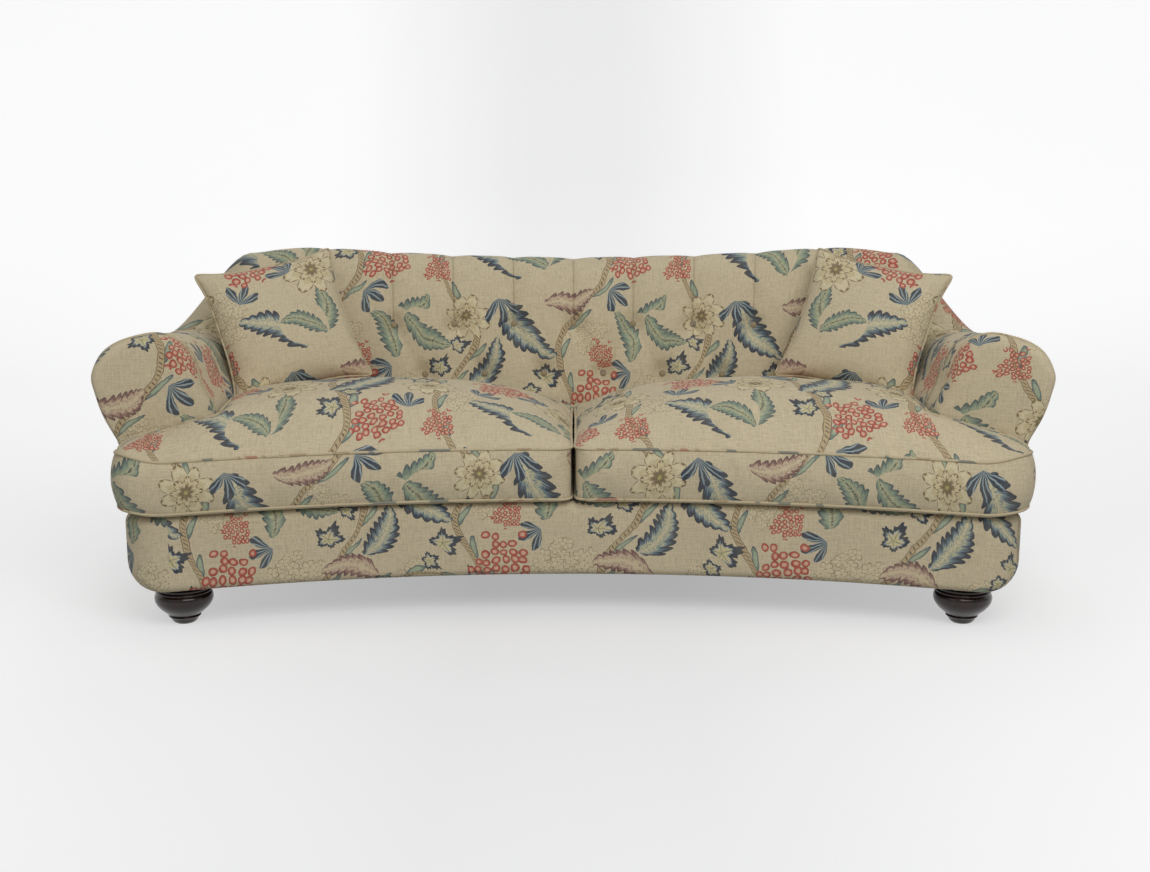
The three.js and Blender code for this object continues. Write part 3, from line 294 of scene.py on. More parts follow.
def past_pleats(x, z):
    beyond = (np.abs(np.round(x / CHANNEL_WIDTH)) > SEAM_REACH) & (z > UPPER_BUTTON_Z)
    return beyond | (np.abs(x) > (SEAM_REACH + SEAM_END_SHARE) * CHANNEL_WIDTH)


def pleat_distance(x, z):
    """Distance to the nearest pleat: upright seams, then diamonds, then upright pleats below."""
    from_seam, from_half = from_seams(x)
    slope = (UPPER_BUTTON_Z - LOWER_BUTTON_Z) / (CHANNEL_WIDTH / 2)
    between = np.abs(UPPER_BUTTON_Z - z - from_seam * slope) / slope
    nearest = np.where(z >= UPPER_BUTTON_Z, from_seam, np.where(z >= LOWER_BUTTON_Z, between, from_half))
    return np.where(past_pleats(x, z), CHANNEL_WIDTH, nearest)


def seam_distance(x, z):
    """Distance to the nearest stitched seam; a seam ends at its upper button."""
    from_seam, _ = from_seams(x)
    distance = np.hypot(from_seam, np.maximum(UPPER_BUTTON_Z - z, 0))
    return np.where(past_pleats(x, z), SEAM_FAR, np.minimum(distance, SEAM_FAR))


def tuft_depth(x, z, pleat_depth, button_depth):
    """Inward pull of seams, folds and buttons; the folds fade between one button and the next."""
    from_seam, from_half = from_seams(x)
    upper = np.hypot(from_seam, z - UPPER_BUTTON_Z)
    lower = np.hypot(from_half, z - LOWER_BUTTON_Z)
    nearest = np.maximum(np.minimum(upper, lower) - BUTTON_HOLLOW, 0)
    pull = np.where(z >= UPPER_BUTTON_Z, 1, mix(FOLD_SHARE, 1, crease(nearest, FOLD_REACH, 0)))
    pleat = crease(pleat_distance(x, z), CHANNEL_WIDTH * CREASE_SPREAD_SHARE, STITCH_DEPTH_SHARE)
    pleat = pleat * pull * smooth(z - PLEAT_BOTTOM_Z, 0, PLEAT_BOTTOM_FADE)
    depth = pleat_depth * pleat + button_depth * crease(nearest, BUTTON_SPREAD, 0)
    return np.where(past_pleats(x, z), 0, depth)


def pad_section(stations, pleat_depth=0.0, button_depth=0.0):
    """Offsets and heights of the pad's closed section at every station."""
    x, turn, along = stations[:, 0], stations[:, 4], stations[:, 5]
    share = arm_share(turn, along)[:, None]
    pivot = mix(UPPER_BUTTON_Z, LOWER_BUTTON_Z, share)
    peak = mix(BACK_SECTION_TOP, ARM_SECTION_TOP, share)
    rise = (top_height(x, turn, along)[:, None] - pivot) / (peak - pivot)
    back, arm = fine_section(BACK_SECTION), fine_section(ARM_SECTION)
    level = mix(back[:, 1], arm[:, 1], share)
    z = np.where(level > pivot, pivot + (level - pivot) * rise, level)
    offset = mix(back[:, 0], arm[:, 0], share)
    if pleat_depth:
        point = np.arange(offset.shape[1]) / SKIN_STEPS
        fade = smooth(PLEAT_LAST_POINT - point, 0, PLEAT_FADE_POINTS)
        over = mix(1, PLEAT_OVER_SHARE, smooth(point, *PLEAT_OVER_POINTS))
        pull = tuft_depth(x[:, None], z, pleat_depth, button_depth) * (1 - share) * fade * over
        run_out, run_up = np.gradient(offset, axis=1), np.gradient(z, axis=1)
        run = np.hypot(run_out, run_up)
        offset = offset + pull * run_up / run
        z = z - pull * run_out / run
    return offset, z


GRAIN_LATTICE = 97


def grain(u, v, size, seed):
    """Smooth random field between -1 and 1 with lumps of about one size."""
    lattice = np.random.default_rng(seed).uniform(-1, 1, (GRAIN_LATTICE, GRAIN_LATTICE))
    a, b = u / size, v / size
    i, j = np.floor(a).astype(int), np.floor(b).astype(int)
    s, t = smooth(a - i, 0, 1), smooth(b - j, 0, 1)

    def corner(right, up):
        return lattice[(i + right) % GRAIN_LATTICE, (j + up) % GRAIN_LATTICE]

    return mix(mix(corner(0, 0), corner(1, 0), s), mix(corner(0, 1), corner(1, 1), s), t)


def lengths_along(points, axis):
    """Running length along one axis of a point grid, in metres."""
    steps = np.linalg.norm(np.diff(points, axis=axis), axis=2)
    start = np.zeros_like(np.take(steps, [0], axis=axis))
    return np.cumsum(np.concatenate([start, steps], axis=axis), axis=axis)


def place_object(name, data):
    """A new object at the origin."""
    item = bpy.data.objects.new(name, data)
    bpy.context.scene.collection.objects.link(item)
    return item


def vertex_places(mesh):
    places = np.zeros(len(mesh.vertices) * 3, np.float32)
    mesh.vertices.foreach_get("co", places)
    return places.reshape(-1, 3).astype(float)


def move_vertices(piece, places):
    piece.data.vertices.foreach_set("co", places.astype(np.float32).ravel())
    piece.data.update()


def evaluated(piece):
    return piece.evaluated_get(bpy.context.evaluated_depsgraph_get())


def keep_result(piece):
    """Turns what a piece's modifiers make into its plain mesh."""
    made = bpy.data.meshes.new_from_object(evaluated(piece))
    piece.modifiers.clear()
    piece.data = made


def new_piece(name, vertices, faces, face_uvs=None):
    """Mesh object at the origin with smooth faces and its print laid out in metres."""
    mesh = bpy.data.meshes.new(name)
    mesh.from_pydata(np.asarray(vertices).tolist(), [], faces)
    if face_uvs is not None:
        layer = mesh.uv_layers.new(name="Print")
        layer.uv.foreach_set("vector", np.asarray(face_uvs, np.float32).ravel())
    mesh.validate()
    mesh.shade_smooth()
    return place_object(name, mesh)


def loft_piece(name, points, uv, ring_across=False, ring_along=False, caps=False):
    """Quads over a grid of points; uv has one more row or column where the grid closes on itself."""
    rows, columns = points.shape[:2]
    index = np.arange(rows * columns).reshape(rows, columns)
    places = np.arange(uv.shape[0] * uv.shape[1]).reshape(uv.shape[:2])
    last_row = rows if ring_along else rows - 1
    last_column = columns if ring_across else columns - 1
    faces, corners = [], []
    for i in range(last_row):
        for j in range(last_column):
            k, n = (i + 1) % rows, (j + 1) % columns
            faces.append([index[i, j], index[i, n], index[k, n], index[k, j]])
            corners.append([places[i, j], places[i, j + 1], places[i + 1, j + 1], places[i + 1, j]])
    if caps:
        faces.append(index[0, ::-1].tolist())
        corners.append(places[0, :columns][::-1].tolist())
        faces.append(index[-1].tolist())
        corners.append(places[-1, :columns].tolist())
    flat = points.reshape(-1, 3)
    if signed_volume(flat, faces) < 0:
        faces = [face[::-1] for face in faces]
        corners = [corner[::-1] for corner in corners]
    where = np.concatenate([np.asarray(corner) for corner in corners])
    faces = [[int(vertex) for vertex in face] for face in faces]
    return new_piece(name, flat, faces, uv.reshape(-1, 2)[where])


def signed_volume(vertices, faces):
    total = 0.0
    for face in faces:
        a, fan = vertices[face[0]], vertices[face[1:]]
        total += np.einsum("j,ij->", a, np.cross(fan[:-1], fan[1:]))
    return total


def ring_uv(points, along):
    """Print layout of a lofted ring: the given run along it, its own length around it."""
    closed = np.concatenate([points, points[:, :1]], axis=1)
    around = lengths_along(closed, 1)
    run = np.broadcast_to(along[:, None], around.shape)
    return np.stack([run, around], axis=2)


def run_along(points, column):
    """Length from row to row at one column, zero in the middle."""
    run = lengths_along(points[:, [column]], 0)[:, 0]
    return run - run[-1] / 2


def finish_piece(piece, body, cover, nodes=()):
    """Gives a piece its material and body, and hides the solids it stands for."""
    piece.data.materials.clear()
    piece.data.materials.append(cover)
    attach(piece, body)
    if nodes:
        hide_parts(*nodes)


HARD_EDGE_DEGREES = 50


def mark_hard_edges(piece, degrees=HARD_EDGE_DEGREES):
    piece.data.set_sharp_from_angle(angle=math.radians(degrees))


# Materials


def linear(code):
    """Linear colour from an sRGB hex code."""
    parts = [int(code[i:i + 2], 16) / 255 for i in (1, 3, 5)]
    return tuple(p / 12.92 if p <= 0.04045 else ((p + 0.055) / 1.055) ** 2.4 for p in parts) + (1,)


def math_method(operation, is_reflected=False):
    """A method that adds one Math node; a reflected one swaps its values."""
    def method(self, *others):
        values = (*others, self) if is_reflected else (self, *others)
        return self.nodes.math(operation, *values)

    return method


class Number:
    """A number socket; Python arithmetic on it adds Math nodes."""

    def __init__(self, nodes, socket):
        self.nodes = nodes
        self.socket = socket

    __add__ = __radd__ = math_method("ADD")
    __sub__ = math_method("SUBTRACT")
    __rsub__ = math_method("SUBTRACT", is_reflected=True)
    __mul__ = __rmul__ = math_method("MULTIPLY")
    __truediv__ = math_method("DIVIDE")
    __rtruediv__ = math_method("DIVIDE", is_reflected=True)
    __pow__ = math_method("POWER")
    __lt__ = math_method("LESS_THAN")
    __gt__ = math_method("GREATER_THAN")
    __abs__ = math_method("ABSOLUTE")
    angle_from = math_method("ARCTAN2")
    wrap = math_method("WRAP")
    fract = math_method("FRACT")
    cosine = math_method("COSINE")
    sine = math_method("SINE")
    least = math_method("MINIMUM")
    most = math_method("MAXIMUM")


class ShaderNodes:
    """Adds nodes to one shader tree."""

    def __init__(self, tree):
        self.tree = tree

    def add(self, kind, settings=None, sockets=None):
        node = self.tree.nodes.new(kind)
        for key, value in (settings or {}).items():
            if key == "stops":
                elements = node.color_ramp.elements
                while len(elements) < len(value):
                    elements.new(0.5)
                for element, (position, colour) in zip(elements, value):
                    element.position = position
                    element.color = linear(colour) if isinstance(colour, str) else colour
            elif key == "interpolation":
                node.color_ramp.interpolation = value
            else:
                setattr(node, key, value)
        for key, value in (sockets or {}).items():
            socket = node.inputs[key]
            source = value.socket if isinstance(value, Number) else value
            if isinstance(source, bpy.types.NodeSocket):
                self.tree.links.new(source, socket)
            else:
                socket.default_value = source
        return node

    def number(self, socket):
        return Number(self, socket)

    def math(self, operation, *values):
        node = self.add("ShaderNodeMath", {"operation": operation}, dict(enumerate(values)))
        return self.number(node.outputs[0])

    def object_place(self):
        return self.add("ShaderNodeTexCoord").outputs["Object"]

    def vector(self, operation, *values):
        return self.add("ShaderNodeVectorMath", {"operation": operation}, dict(enumerate(values))).outputs[0]

    def length(self, vector):
        node = self.add("ShaderNodeVectorMath", {"operation": "LENGTH"}, {0: vector})
        return self.number(node.outputs["Value"])

    def split(self, vector):
        node = self.add("ShaderNodeSeparateXYZ", sockets={0: vector})
        return self.number(node.outputs[0]), self.number(node.outputs[1])

    def join(self, x, y):
        return self.add("ShaderNodeCombineXYZ", sockets={0: x, 1: y}).outputs[0]

    def blend(self, share, near, far, kind="MIX"):
        node = self.add(
            "ShaderNodeMix", {"data_type": "RGBA", "blend_type": kind}, {"Factor": share, 6: near, 7: far},
        )
        return node.outputs[2]

    def blend_vectors(self, share, near, far):
        node = self.add("ShaderNodeMix", {"data_type": "VECTOR"}, {"Factor": share, 4: near, 5: far})
        return node.outputs[1]

    def ramp(self, value, stops, interpolation="CONSTANT"):
        settings = {"interpolation": interpolation, "stops": stops}
        return self.add("ShaderNodeValToRGB", settings, {0: value}).outputs[0]

    def shade(self, colour, value, stops):
        """A colour multiplied by a ramp over a value."""
        return self.blend(1.0, colour, self.ramp(value, stops, "LINEAR"), "MULTIPLY")

    def noise(self, vector, scale, detail=2.0, roughness=0.5):
        node = self.add(
            "ShaderNodeTexNoise", sockets={
                "Vector": vector, "Scale": scale, "Detail": detail, "Roughness": roughness,
            },
        )
        return self.number(node.outputs["Fac"])

    def wander(self, vector, scale):
        """A flat random shift, about -0.5 to 0.5 both ways."""
        colour = self.add("ShaderNodeTexNoise", {"noise_dimensions": "2D"}, {
            "Vector": vector, "Scale": scale, "Detail": 0.0,
        }).outputs["Color"]
        return self.vector("SUBTRACT", colour, (0.5, 0.5, 0.5))

    def cells(self, vector, scale, randomness):
        """Nearest of some scattered points: distance, shift from it, its place and its random colour."""
        node = self.add("ShaderNodeTexVoronoi", {"voronoi_dimensions": "2D"}, {
            "Vector": vector, "Scale": scale, "Randomness": randomness,
        })
        centre = node.outputs["Position"]
        shift = self.vector("SUBTRACT", vector, centre)
        return self.number(node.outputs["Distance"]), shift, centre, node.outputs["Color"]

    def stretched(self, vector, scale, place=(0, 0, 0)):
        return self.add("ShaderNodeMapping", sockets={
            "Vector": vector, "Scale": scale, "Location": place,
        }).outputs[0]


class MaterialNodes(ShaderNodes):
    """Builds one material's nodes."""

    def __init__(self, name):
        self.material = bpy.data.materials.new(name)
        self.material.use_nodes = True
        super().__init__(self.material.node_tree)
        self.tree.nodes.clear()

    def finish(self, colour, roughness, bump=None, bump_strength=0.3, bump_distance=0.001, **constants):
        sockets = {"Base Color": colour, "Roughness": roughness}
        if bump is not None:
            node = self.add("ShaderNodeBump", sockets={
                "Strength": bump_strength, "Distance": bump_distance, "Height": bump,
            })
            sockets["Normal"] = node.outputs[0]
        sockets.update({key.replace("_", " "): value for key, value in constants.items()})
        shader = self.add("ShaderNodeBsdfPrincipled", sockets=sockets)
        self.add("ShaderNodeOutputMaterial", sockets={"Surface": shader.outputs[0]})
        return self.material


# The print repeats over this tile; places are [u, v, turn in degrees, reach, kind].
# Inside a motif, every length is a share of its reach.
TILE = (0.68, 0.78)
NAVY, SAGE, MAUVE = 0, 1, 2
LEAF_PLACES = (
    (0.290, 0.270, 62, 0.118, NAVY),
    (0.645, 0.090, 140, 0.104, NAVY),
    (0.035, 0.640, -52, 0.110, NAVY),
    (0.520, 0.450, 172, 0.078, MAUVE),
    (0.160, 0.735, 15, 0.074, MAUVE),
    (0.385, 0.700, 35, 0.092, SAGE),
    (0.330, 0.640, 110, 0.080, SAGE),
    (0.440, 0.640, -35, 0.080, SAGE),
    (0.105, 0.110, 75, 0.080, SAGE),
    (0.045, 0.085, 150, 0.066, SAGE),
    (0.610, 0.545, 60, 0.086, NAVY),
)
FLOWER_PLACES = (
    (0.110, 0.245, 15, 0.086, 0),
    (0.450, 0.235, 40, 0.078, 0),
    (0.560, 0.690, 70, 0.070, 0),
)
BERRY_PLACES = (
    (0.235, 0.455, 0, 0.090, 0),
    (0.330, 0.085, 25, 0.074, 0),
    (0.630, 0.310, 40, 0.078, 0),
    (0.250, 0.590, 0, 0.046, 0),
    (0.480, 0.060, 10, 0.050, 0),
)
BLOSSOM_PLACES = (
    (0.380, 0.440, 0, 0.090, 0),
    (0.200, 0.640, 0, 0.074, 0),
    (0.530, 0.170, 0, 0.082, 0),
    (0.010, 0.400, 0, 0.080, 0),
)
LOBED_PLACES = (
    (0.100, 0.515, 20, 0.070, 0),
    (0.150, 0.420, 110, 0.056, 0),
    (0.055, 0.455, -50, 0.048, 0),
    (0.590, 0.395, 200, 0.056, 0),
    (0.420, 0.335, 95, 0.066, 0),
    (0.350, 0.350, 160, 0.048, 0),
    (0.480, 0.550, 60, 0.062, 0),
    (0.540, 0.610, 10, 0.048, 0),
    (0.215, 0.120, 140, 0.062, 0),
    (0.270, 0.180, 40, 0.046, 0),
)
SPRIG_PLACES = (
    (0.180, 0.345, 20, 0.050, 0),
    (0.300, 0.750, -35, 0.046, 0),
    (0.600, 0.215, 60, 0.044, 0),
    (0.030, 0.270, 130, 0.040, 0),
    (0.305, 0.525, 200, 0.042, 0),
    (0.655, 0.700, -80, 0.046, 0),
    (0.400, 0.135, 80, 0.040, 0),
)


def placed(nodes, uv, places):
    """Local place inside whichever motif covers a point, its reach being 1, and the motif's kind."""
    half = (TILE[0] / 2, TILE[1] / 2, 1)
    local, kind = None, None
    for u, v, turn, reach, sort in places:
        shifted = nodes.vector("SUBTRACT", uv, (u, v, 0))
        wrapped = nodes.vector("WRAP", shifted, half, tuple(-side for side in half))
        turned = nodes.add("ShaderNodeMapping", {"vector_type": "TEXTURE"}, {
            "Vector": wrapped, "Rotation": (0, 0, math.radians(turn)), "Scale": (reach, reach, reach),
        }).outputs[0]
        if local is None:
            local, kind = turned, sort
            continue
        inside = nodes.length(turned) < 1
        local = nodes.blend_vectors(inside, local, turned)
        if isinstance(kind, Number) or sort != kind:
            kind = inside * sort + (1 - inside) * kind
    return local, kind


def plume_leaves(nodes, uv, ground):
    """Curved, toothed leaves with streaked blades, in three colourings."""
    local, kind = placed(nodes, uv, LEAF_PLACES)
    x, y = nodes.split(local)
    across = abs(y - x * x * 0.3 + 0.12)
    taper = (0.9 - x * x).most(0) ** 0.6 * (1.08 - x * 0.2)
    lobes = (x * 4.3 - across * 3.4).fract()
    rounded = (lobes - 0.5) * (lobes - 0.5) * 4
    edge = taper * (0.42 - rounded * 0.13)
    inward = across / edge
    streaks = nodes.noise(nodes.join(x * 26 - across * 30, across * 3), 1.0, 1.0) - 0.5
    zone = inward + streaks * 0.9
    navy = nodes.ramp(zone * 0.7, (
        (0, "#c9bf9c"), (0.1, "#6f8589"), (0.15, "#bdb896"), (0.26, "#7d9091"),
        (0.36, "#4a6274"), (0.48, "#1b2d43"),
    ))
    sage = nodes.ramp(zone * 0.7, (
        (0, "#4a5a50"), (0.05, "#b0ae8c"), (0.2, "#8b9a83"), (0.4, "#6b7f74"),
        (0.56, "#3b5258"),
    ))
    mauve = nodes.ramp(zone * 0.7, (
        (0, "#cbbb9a"), (0.16, "#a68a7c"), (0.24, "#c6b295"), (0.4, "#8f6c66"),
        (0.56, "#5f3f44"),
    ))
    colour = nodes.blend(kind > (NAVY + SAGE) / 2, navy, sage)
    colour = nodes.blend(kind > (SAGE + MAUVE) / 2, colour, mauve)
    inside = (inward < 1) * (taper > 0.13)
    return nodes.blend(inside, ground, colour)


def open_flowers(nodes, uv, ground):
    """Pale open flowers in brown line, with a shaded throat."""
    local, _ = placed(nodes, uv, FLOWER_PLACES)
    x, y = nodes.split(local)
    radius = nodes.length(local)
    angle = y.angle_from(x)
    petal = abs((angle * 4).cosine())
    outer = radius / (petal ** 0.7 * 0.42 + 0.52)
    inner = radius / (abs((angle * 4).sine()) ** 0.8 * 0.24 + 0.3)
    rays = abs((angle * 16).sine()) * 0.22
    outer_colour = nodes.ramp((outer + rays * 0.4) * 0.8, (
        (0, "#c5b68f"), (0.58, "#d2c6a3"), (0.74, "#c8ba93"), (0.8, "#77634b"),
    ))
    inner_colour = nodes.ramp((inner + rays) * 0.75, (
        (0, "#b3a866"), (0.22, "#5b4a3a"), (0.36, "#8d7a5b"), (0.5, "#cdbf98"),
        (0.77, "#7b684f"),
    ))
    colour = nodes.blend(outer < 1, ground, outer_colour)
    return nodes.blend(inner < 1, colour, inner_colour)


def berry_clusters(nodes, uv, ground):
    """Bunches of coral ring berries."""
    local, _ = placed(nodes, uv, BERRY_PLACES)
    distance, _, centre, _ = nodes.cells(local, 3.9, 0.3)
    bunch = nodes.length(centre) + nodes.noise(centre, 1.6, 0) * 0.9
    shade = nodes.noise(local, 7.0, 0) * 0.16
    colour = nodes.ramp(distance + shade, (
        (0, "#cdb796"), (0.15, "#d0a68c"), (0.27, "#c67f6c"), (0.35, "#ad423b"),
        (0.5, "#85302e"),
    ))
    inside = (distance < 0.475) * (bunch < 1.3)
    return nodes.blend(inside, ground, colour)


def line_blossoms(nodes, uv, ground):
    """Heads of small five-petal flowers drawn only in line."""
    local, _ = placed(nodes, uv, BLOSSOM_PLACES)
    distance, shift, centre, tint = nodes.cells(local, 3.4, 0.8)
    x, y = nodes.split(shift)
    spin, _ = nodes.split(tint)
    angle = y.angle_from(x) + spin * 6
    head = nodes.length(centre) + nodes.noise(centre, 1.5, 0) * 0.7 < 1.2
    petal = abs((angle * 2.5).cosine()) ** 0.6 * 0.3 + 0.3
    rim = abs(distance - petal)
    spokes = (abs((angle * 2.5).cosine()) < 0.16) * (distance < petal) * (distance > 0.1)
    lines = (rim < 0.04).most(spokes * 0.7).most(distance < 0.07) * head
    body = nodes.blend(head * (distance < petal) * 0.35, ground, linear("#d6caa6"))
    return nodes.blend(lines * 0.8, body, linear("#7f6a50"))


def lobed_leaves(nodes, uv, ground):
    """Pale lobed leaves inside a thick toothed navy outline."""
    local, _ = placed(nodes, uv, LOBED_PLACES)
    x, y = nodes.split(local)
    radius = nodes.length(nodes.join(x + 0.25, y))
    angle = y.angle_from(x + 0.25)
    point = 1 - abs((angle * (5 / (2 * math.pi)) + 0.5).fract() - 0.5) * 2
    swell = nodes.noise(local, 1.9, 0) * 0.5 + 0.75
    reach = (point ** 0.9 * 0.37 + 0.44) * (x * 0.35 + 0.8) * swell + (angle * 21).sine() * 0.035
    inward = radius / reach
    wash = nodes.noise(local, 4.0, 1.0) * 0.3
    colour = nodes.ramp((inward + wash - 0.15) * 0.75, (
        (0, "#c6bb8b"), (0.3, "#c9be98"), (0.44, "#8696a0"), (0.5, "#1c2e43"),
    ))
    rib = (1 - point) * radius < 0.02
    colour = nodes.blend(rib * (inward < 0.7) * 0.8, colour, linear("#4c6069"))
    return nodes.blend((inward < 1) * (nodes.length(local) < 1), ground, colour)


def navy_sprigs(nodes, uv, ground):
    """Small fans of three dark leaves with pale streaks."""
    local, _ = placed(nodes, uv, SPRIG_PLACES)
    x, y = nodes.split(local)
    root = x + 0.8
    angle = y.angle_from(root)
    radius = nodes.length(nodes.join(root, y)) * 0.62
    fan = abs((angle * 4.0).cosine()) ** 0.6 * 0.95
    inside = (radius < fan) * (abs(angle) < 1.15)
    streak = (angle * 24).sine() * 0.5 + 0.5 + (radius - 0.6) * 0.6
    colour = nodes.ramp(streak, (
        (0, "#8fa0a2"), (0.17, "#46607a"), (0.36, "#1d3146"),
    ))
    return nodes.blend(inside, ground, colour)


# Winding stems: [middle, swing, phase, ripple, phase of the ripple]
UPRIGHT_STEMS = ((0.195, 0.06, 0.4, 0.024, 1.1), (0.5, 0.055, 2.6, 0.026, 4.0))
UPRIGHT_HALF_WIDTH = 0.0085
CROSS_STEM = (0.36, 0.07, 1.9, 0.02, 0.0)
CROSS_HALF_WIDTH = 0.0035
STEM_LEAF_HALF_WIDTH = 0.009
STEM_LEAF_SWAY = 0.03
STEM_LEAVES_PER_METRE = 11


def vines(nodes, uv, ground):
    """Winding pale stems with brown edges and a row of marks inside."""
    u, v = nodes.split(uv)
    colour = ground
    for line in UPRIGHT_STEMS:
        colour = stem(nodes, colour, aside_of(line, u, v, *TILE), v, UPRIGHT_HALF_WIDTH)
    return stem(nodes, colour, aside_of(CROSS_STEM, v, u, *TILE[::-1]), u, CROSS_HALF_WIDTH)


def aside_of(line, across, along, width, length):
    """Distance aside from a stem that winds about a straight line, over and over in the tile."""
    centre, swing, phase, ripple, ripple_phase = line
    turn = 2 * math.pi / length
    middle = (along * turn + phase).sine() * swing + (along * (2 * turn) + ripple_phase).sine() * ripple
    return (across - middle - centre).wrap(width / 2, -width / 2)


def stem(nodes, ground, aside, along, half_width):
    """One stem: a pale band with thin brown edges, curls drawn inside it and a leaf now and then."""
    step = (along * STEM_LEAVES_PER_METRE).fract() - 0.5
    side = (aside - step * STEM_LEAF_SWAY - half_width * 2.1) / STEM_LEAF_HALF_WIDTH
    leaf = side * side + step * step * 9
    leaf_colour = nodes.ramp(leaf, (
        (0, "#9aa78d"), (0.35, "#6c8078"), (0.75, "#30495a"),
    ))
    colour = nodes.blend(leaf < 1, ground, leaf_colour)
    band = abs(aside) / half_width
    bark = nodes.blend(band < 0.8, linear("#6b5440"), linear("#b7a47f"))
    curls = (along * 95 + aside * 75).fract()
    marks = (curls < 0.34) * (band < 0.55)
    bark = nodes.blend(marks, bark, linear("#6f5944"))
    return nodes.blend(band < 1, colour, bark)


# Yarns of the linen per metre: [across their run, along it]
YARN_SLUBS = (330, 18)
YARN_RELIEF = (800, 60)
CLOUD_SHARE = 0.88


def yarns(nodes, uv, per_metre):
    """Uneven threads, half of them across and half of them upright."""
    fine, coarse = per_metre
    across = nodes.noise(nodes.stretched(uv, (coarse, fine, 1)), 1.0, 1.0)
    upright = nodes.noise(nodes.stretched(uv, (fine, coarse, 1)), 1.0, 1.0)
    return across * 0.5 + upright * 0.5


def linen_ground(nodes, uv, code):
    """Unbleached linen with uneven yarns across and along."""
    base = linear(code)
    cloud = nodes.noise(uv, 6.0, 3.0)
    colour = nodes.blend(cloud, base, tuple(part * CLOUD_SHARE for part in base[:3]) + (1,))
    return nodes.shade(colour, yarns(nodes, uv, YARN_SLUBS), (
        (0.34, (0.89, 0.88, 0.86, 1)), (0.5, (1, 1, 1, 1)), (0.66, (1.07, 1.07, 1.06, 1)),
    ))


# Wander of the drawn lines, coarse to fine: [lumps per metre, reach]
DRAWING_WANDERS = ((2.6, 0.05), (17.0, 0.013), (90.0, 0.0026))
WORN_SHARE = 0.26


def garden_print_group(code):
    """Shared print: takes a place on the cloth in metres, gives the colour there and the yarn relief."""
    tree = bpy.data.node_groups.new("garden_print", "ShaderNodeTree")
    tree.interface.new_socket("Place", in_out="INPUT", socket_type="NodeSocketVector")
    tree.interface.new_socket("Colour", in_out="OUTPUT", socket_type="NodeSocketColor")
    tree.interface.new_socket("Yarn", in_out="OUTPUT", socket_type="NodeSocketFloat")
    nodes = ShaderNodes(tree)
    uv = nodes.add("NodeGroupInput").outputs[0]
    drawn = uv
    for scale, reach in DRAWING_WANDERS:
        drawn = nodes.vector("MULTIPLY_ADD", nodes.wander(uv, scale), (reach, reach, 0), drawn)
    linen = linen_ground(nodes, uv, code)
    colour = linen
    for motif in (
        line_blossoms, vines, plume_leaves, open_flowers, lobed_leaves, navy_sprigs, berry_clusters,
    ):
        colour = motif(nodes, drawn, colour)
    worn = nodes.noise(uv, 30.0, 2.0) * WORN_SHARE
    faded = nodes.blend(worn, colour, linen)
    yarn = yarns(nodes, uv, YARN_RELIEF)
    shaded = nodes.shade(faded, yarn, (
        (0.32, (0.8, 0.79, 0.77, 1)), (0.5, (1, 1, 1, 1)), (0.68, (1.1, 1.1, 1.09, 1)),
    ))
    nodes.add("NodeGroupOutput", sockets={0: shaded, 1: yarn})
    return tree


LINEN_COLOUR = "#cdbfa0"
BIAS_COLOUR = "#c4b696"
BIAS_PRINT_SHARE = 0.6
BUTTON_COLOUR = "#9d8e72"
BUTTON_PRINT_SHARE = 0.35
CLOTH_ROUGHNESS = 0.88

# Where each cover starts the print, in metres
PRINT_STARTS = {
    "back_linen_print": (0.18, 0.3), "border_linen_print": (0.1, 0.42), "scatter_linen_print": (0.0, 0.12),
    "arm_linen_print_left": (-0.3, 0.55), "arm_linen_print_right": (0.3, 0.55),
    "facing_linen_print_left": (-0.11, 0.2), "facing_linen_print_right": (0.11, 0.2),
    "outside_back_linen_print": (0.05, 0.1),
    "outside_arm_left_linen_print": (-0.4, 0.1), "outside_arm_right_linen_print": (0.4, 0.1),
    "seat_linen_print_left": (0.13, 0.0), "seat_linen_print_right": (0.33, 0.0),
}


def printed_linen(name, seam_shaded=False):
    """Linen with the garden print, with painted shade darkening it along the stitched seams of a piece that
    carries them.
    """
    nodes = MaterialNodes(name)
    source = nodes.add("ShaderNodeUVMap", {"uv_map": "Print"}).outputs[0]
    uv = nodes.stretched(source, (1, 1, 1), place=(*PRINT_STARTS[name], 0))
    group = bpy.data.node_groups.get("garden_print") or garden_print_group(LINEN_COLOUR)
    printed = nodes.add("ShaderNodeGroup", {"node_tree": group}, {0: uv})
    colour = printed.outputs["Colour"]
    if seam_shaded:
        # Painted shade: the colour darkens towards each stitched seam, as shade in its crease.
        distance = nodes.add("ShaderNodeAttribute", {"attribute_name": "Seam"}).outputs["Fac"]
        colour = nodes.shade(colour, nodes.number(distance) * (1 / SEAM_FAR), (
            (0.0, (0.72, 0.7, 0.67, 1)), (0.03, (0.8, 0.78, 0.76, 1)), (0.07, (0.96, 0.955, 0.95, 1)),
            (0.3, (1, 1, 1, 1)),
        ))
    return nodes.finish(
        colour, CLOTH_ROUGHNESS, bump=printed.outputs["Yarn"], bump_strength=0.35, bump_distance=0.0012,
        Sheen_Weight=0.1, Sheen_Roughness=0.5, Specular_IOR_Level=0.25,
    )


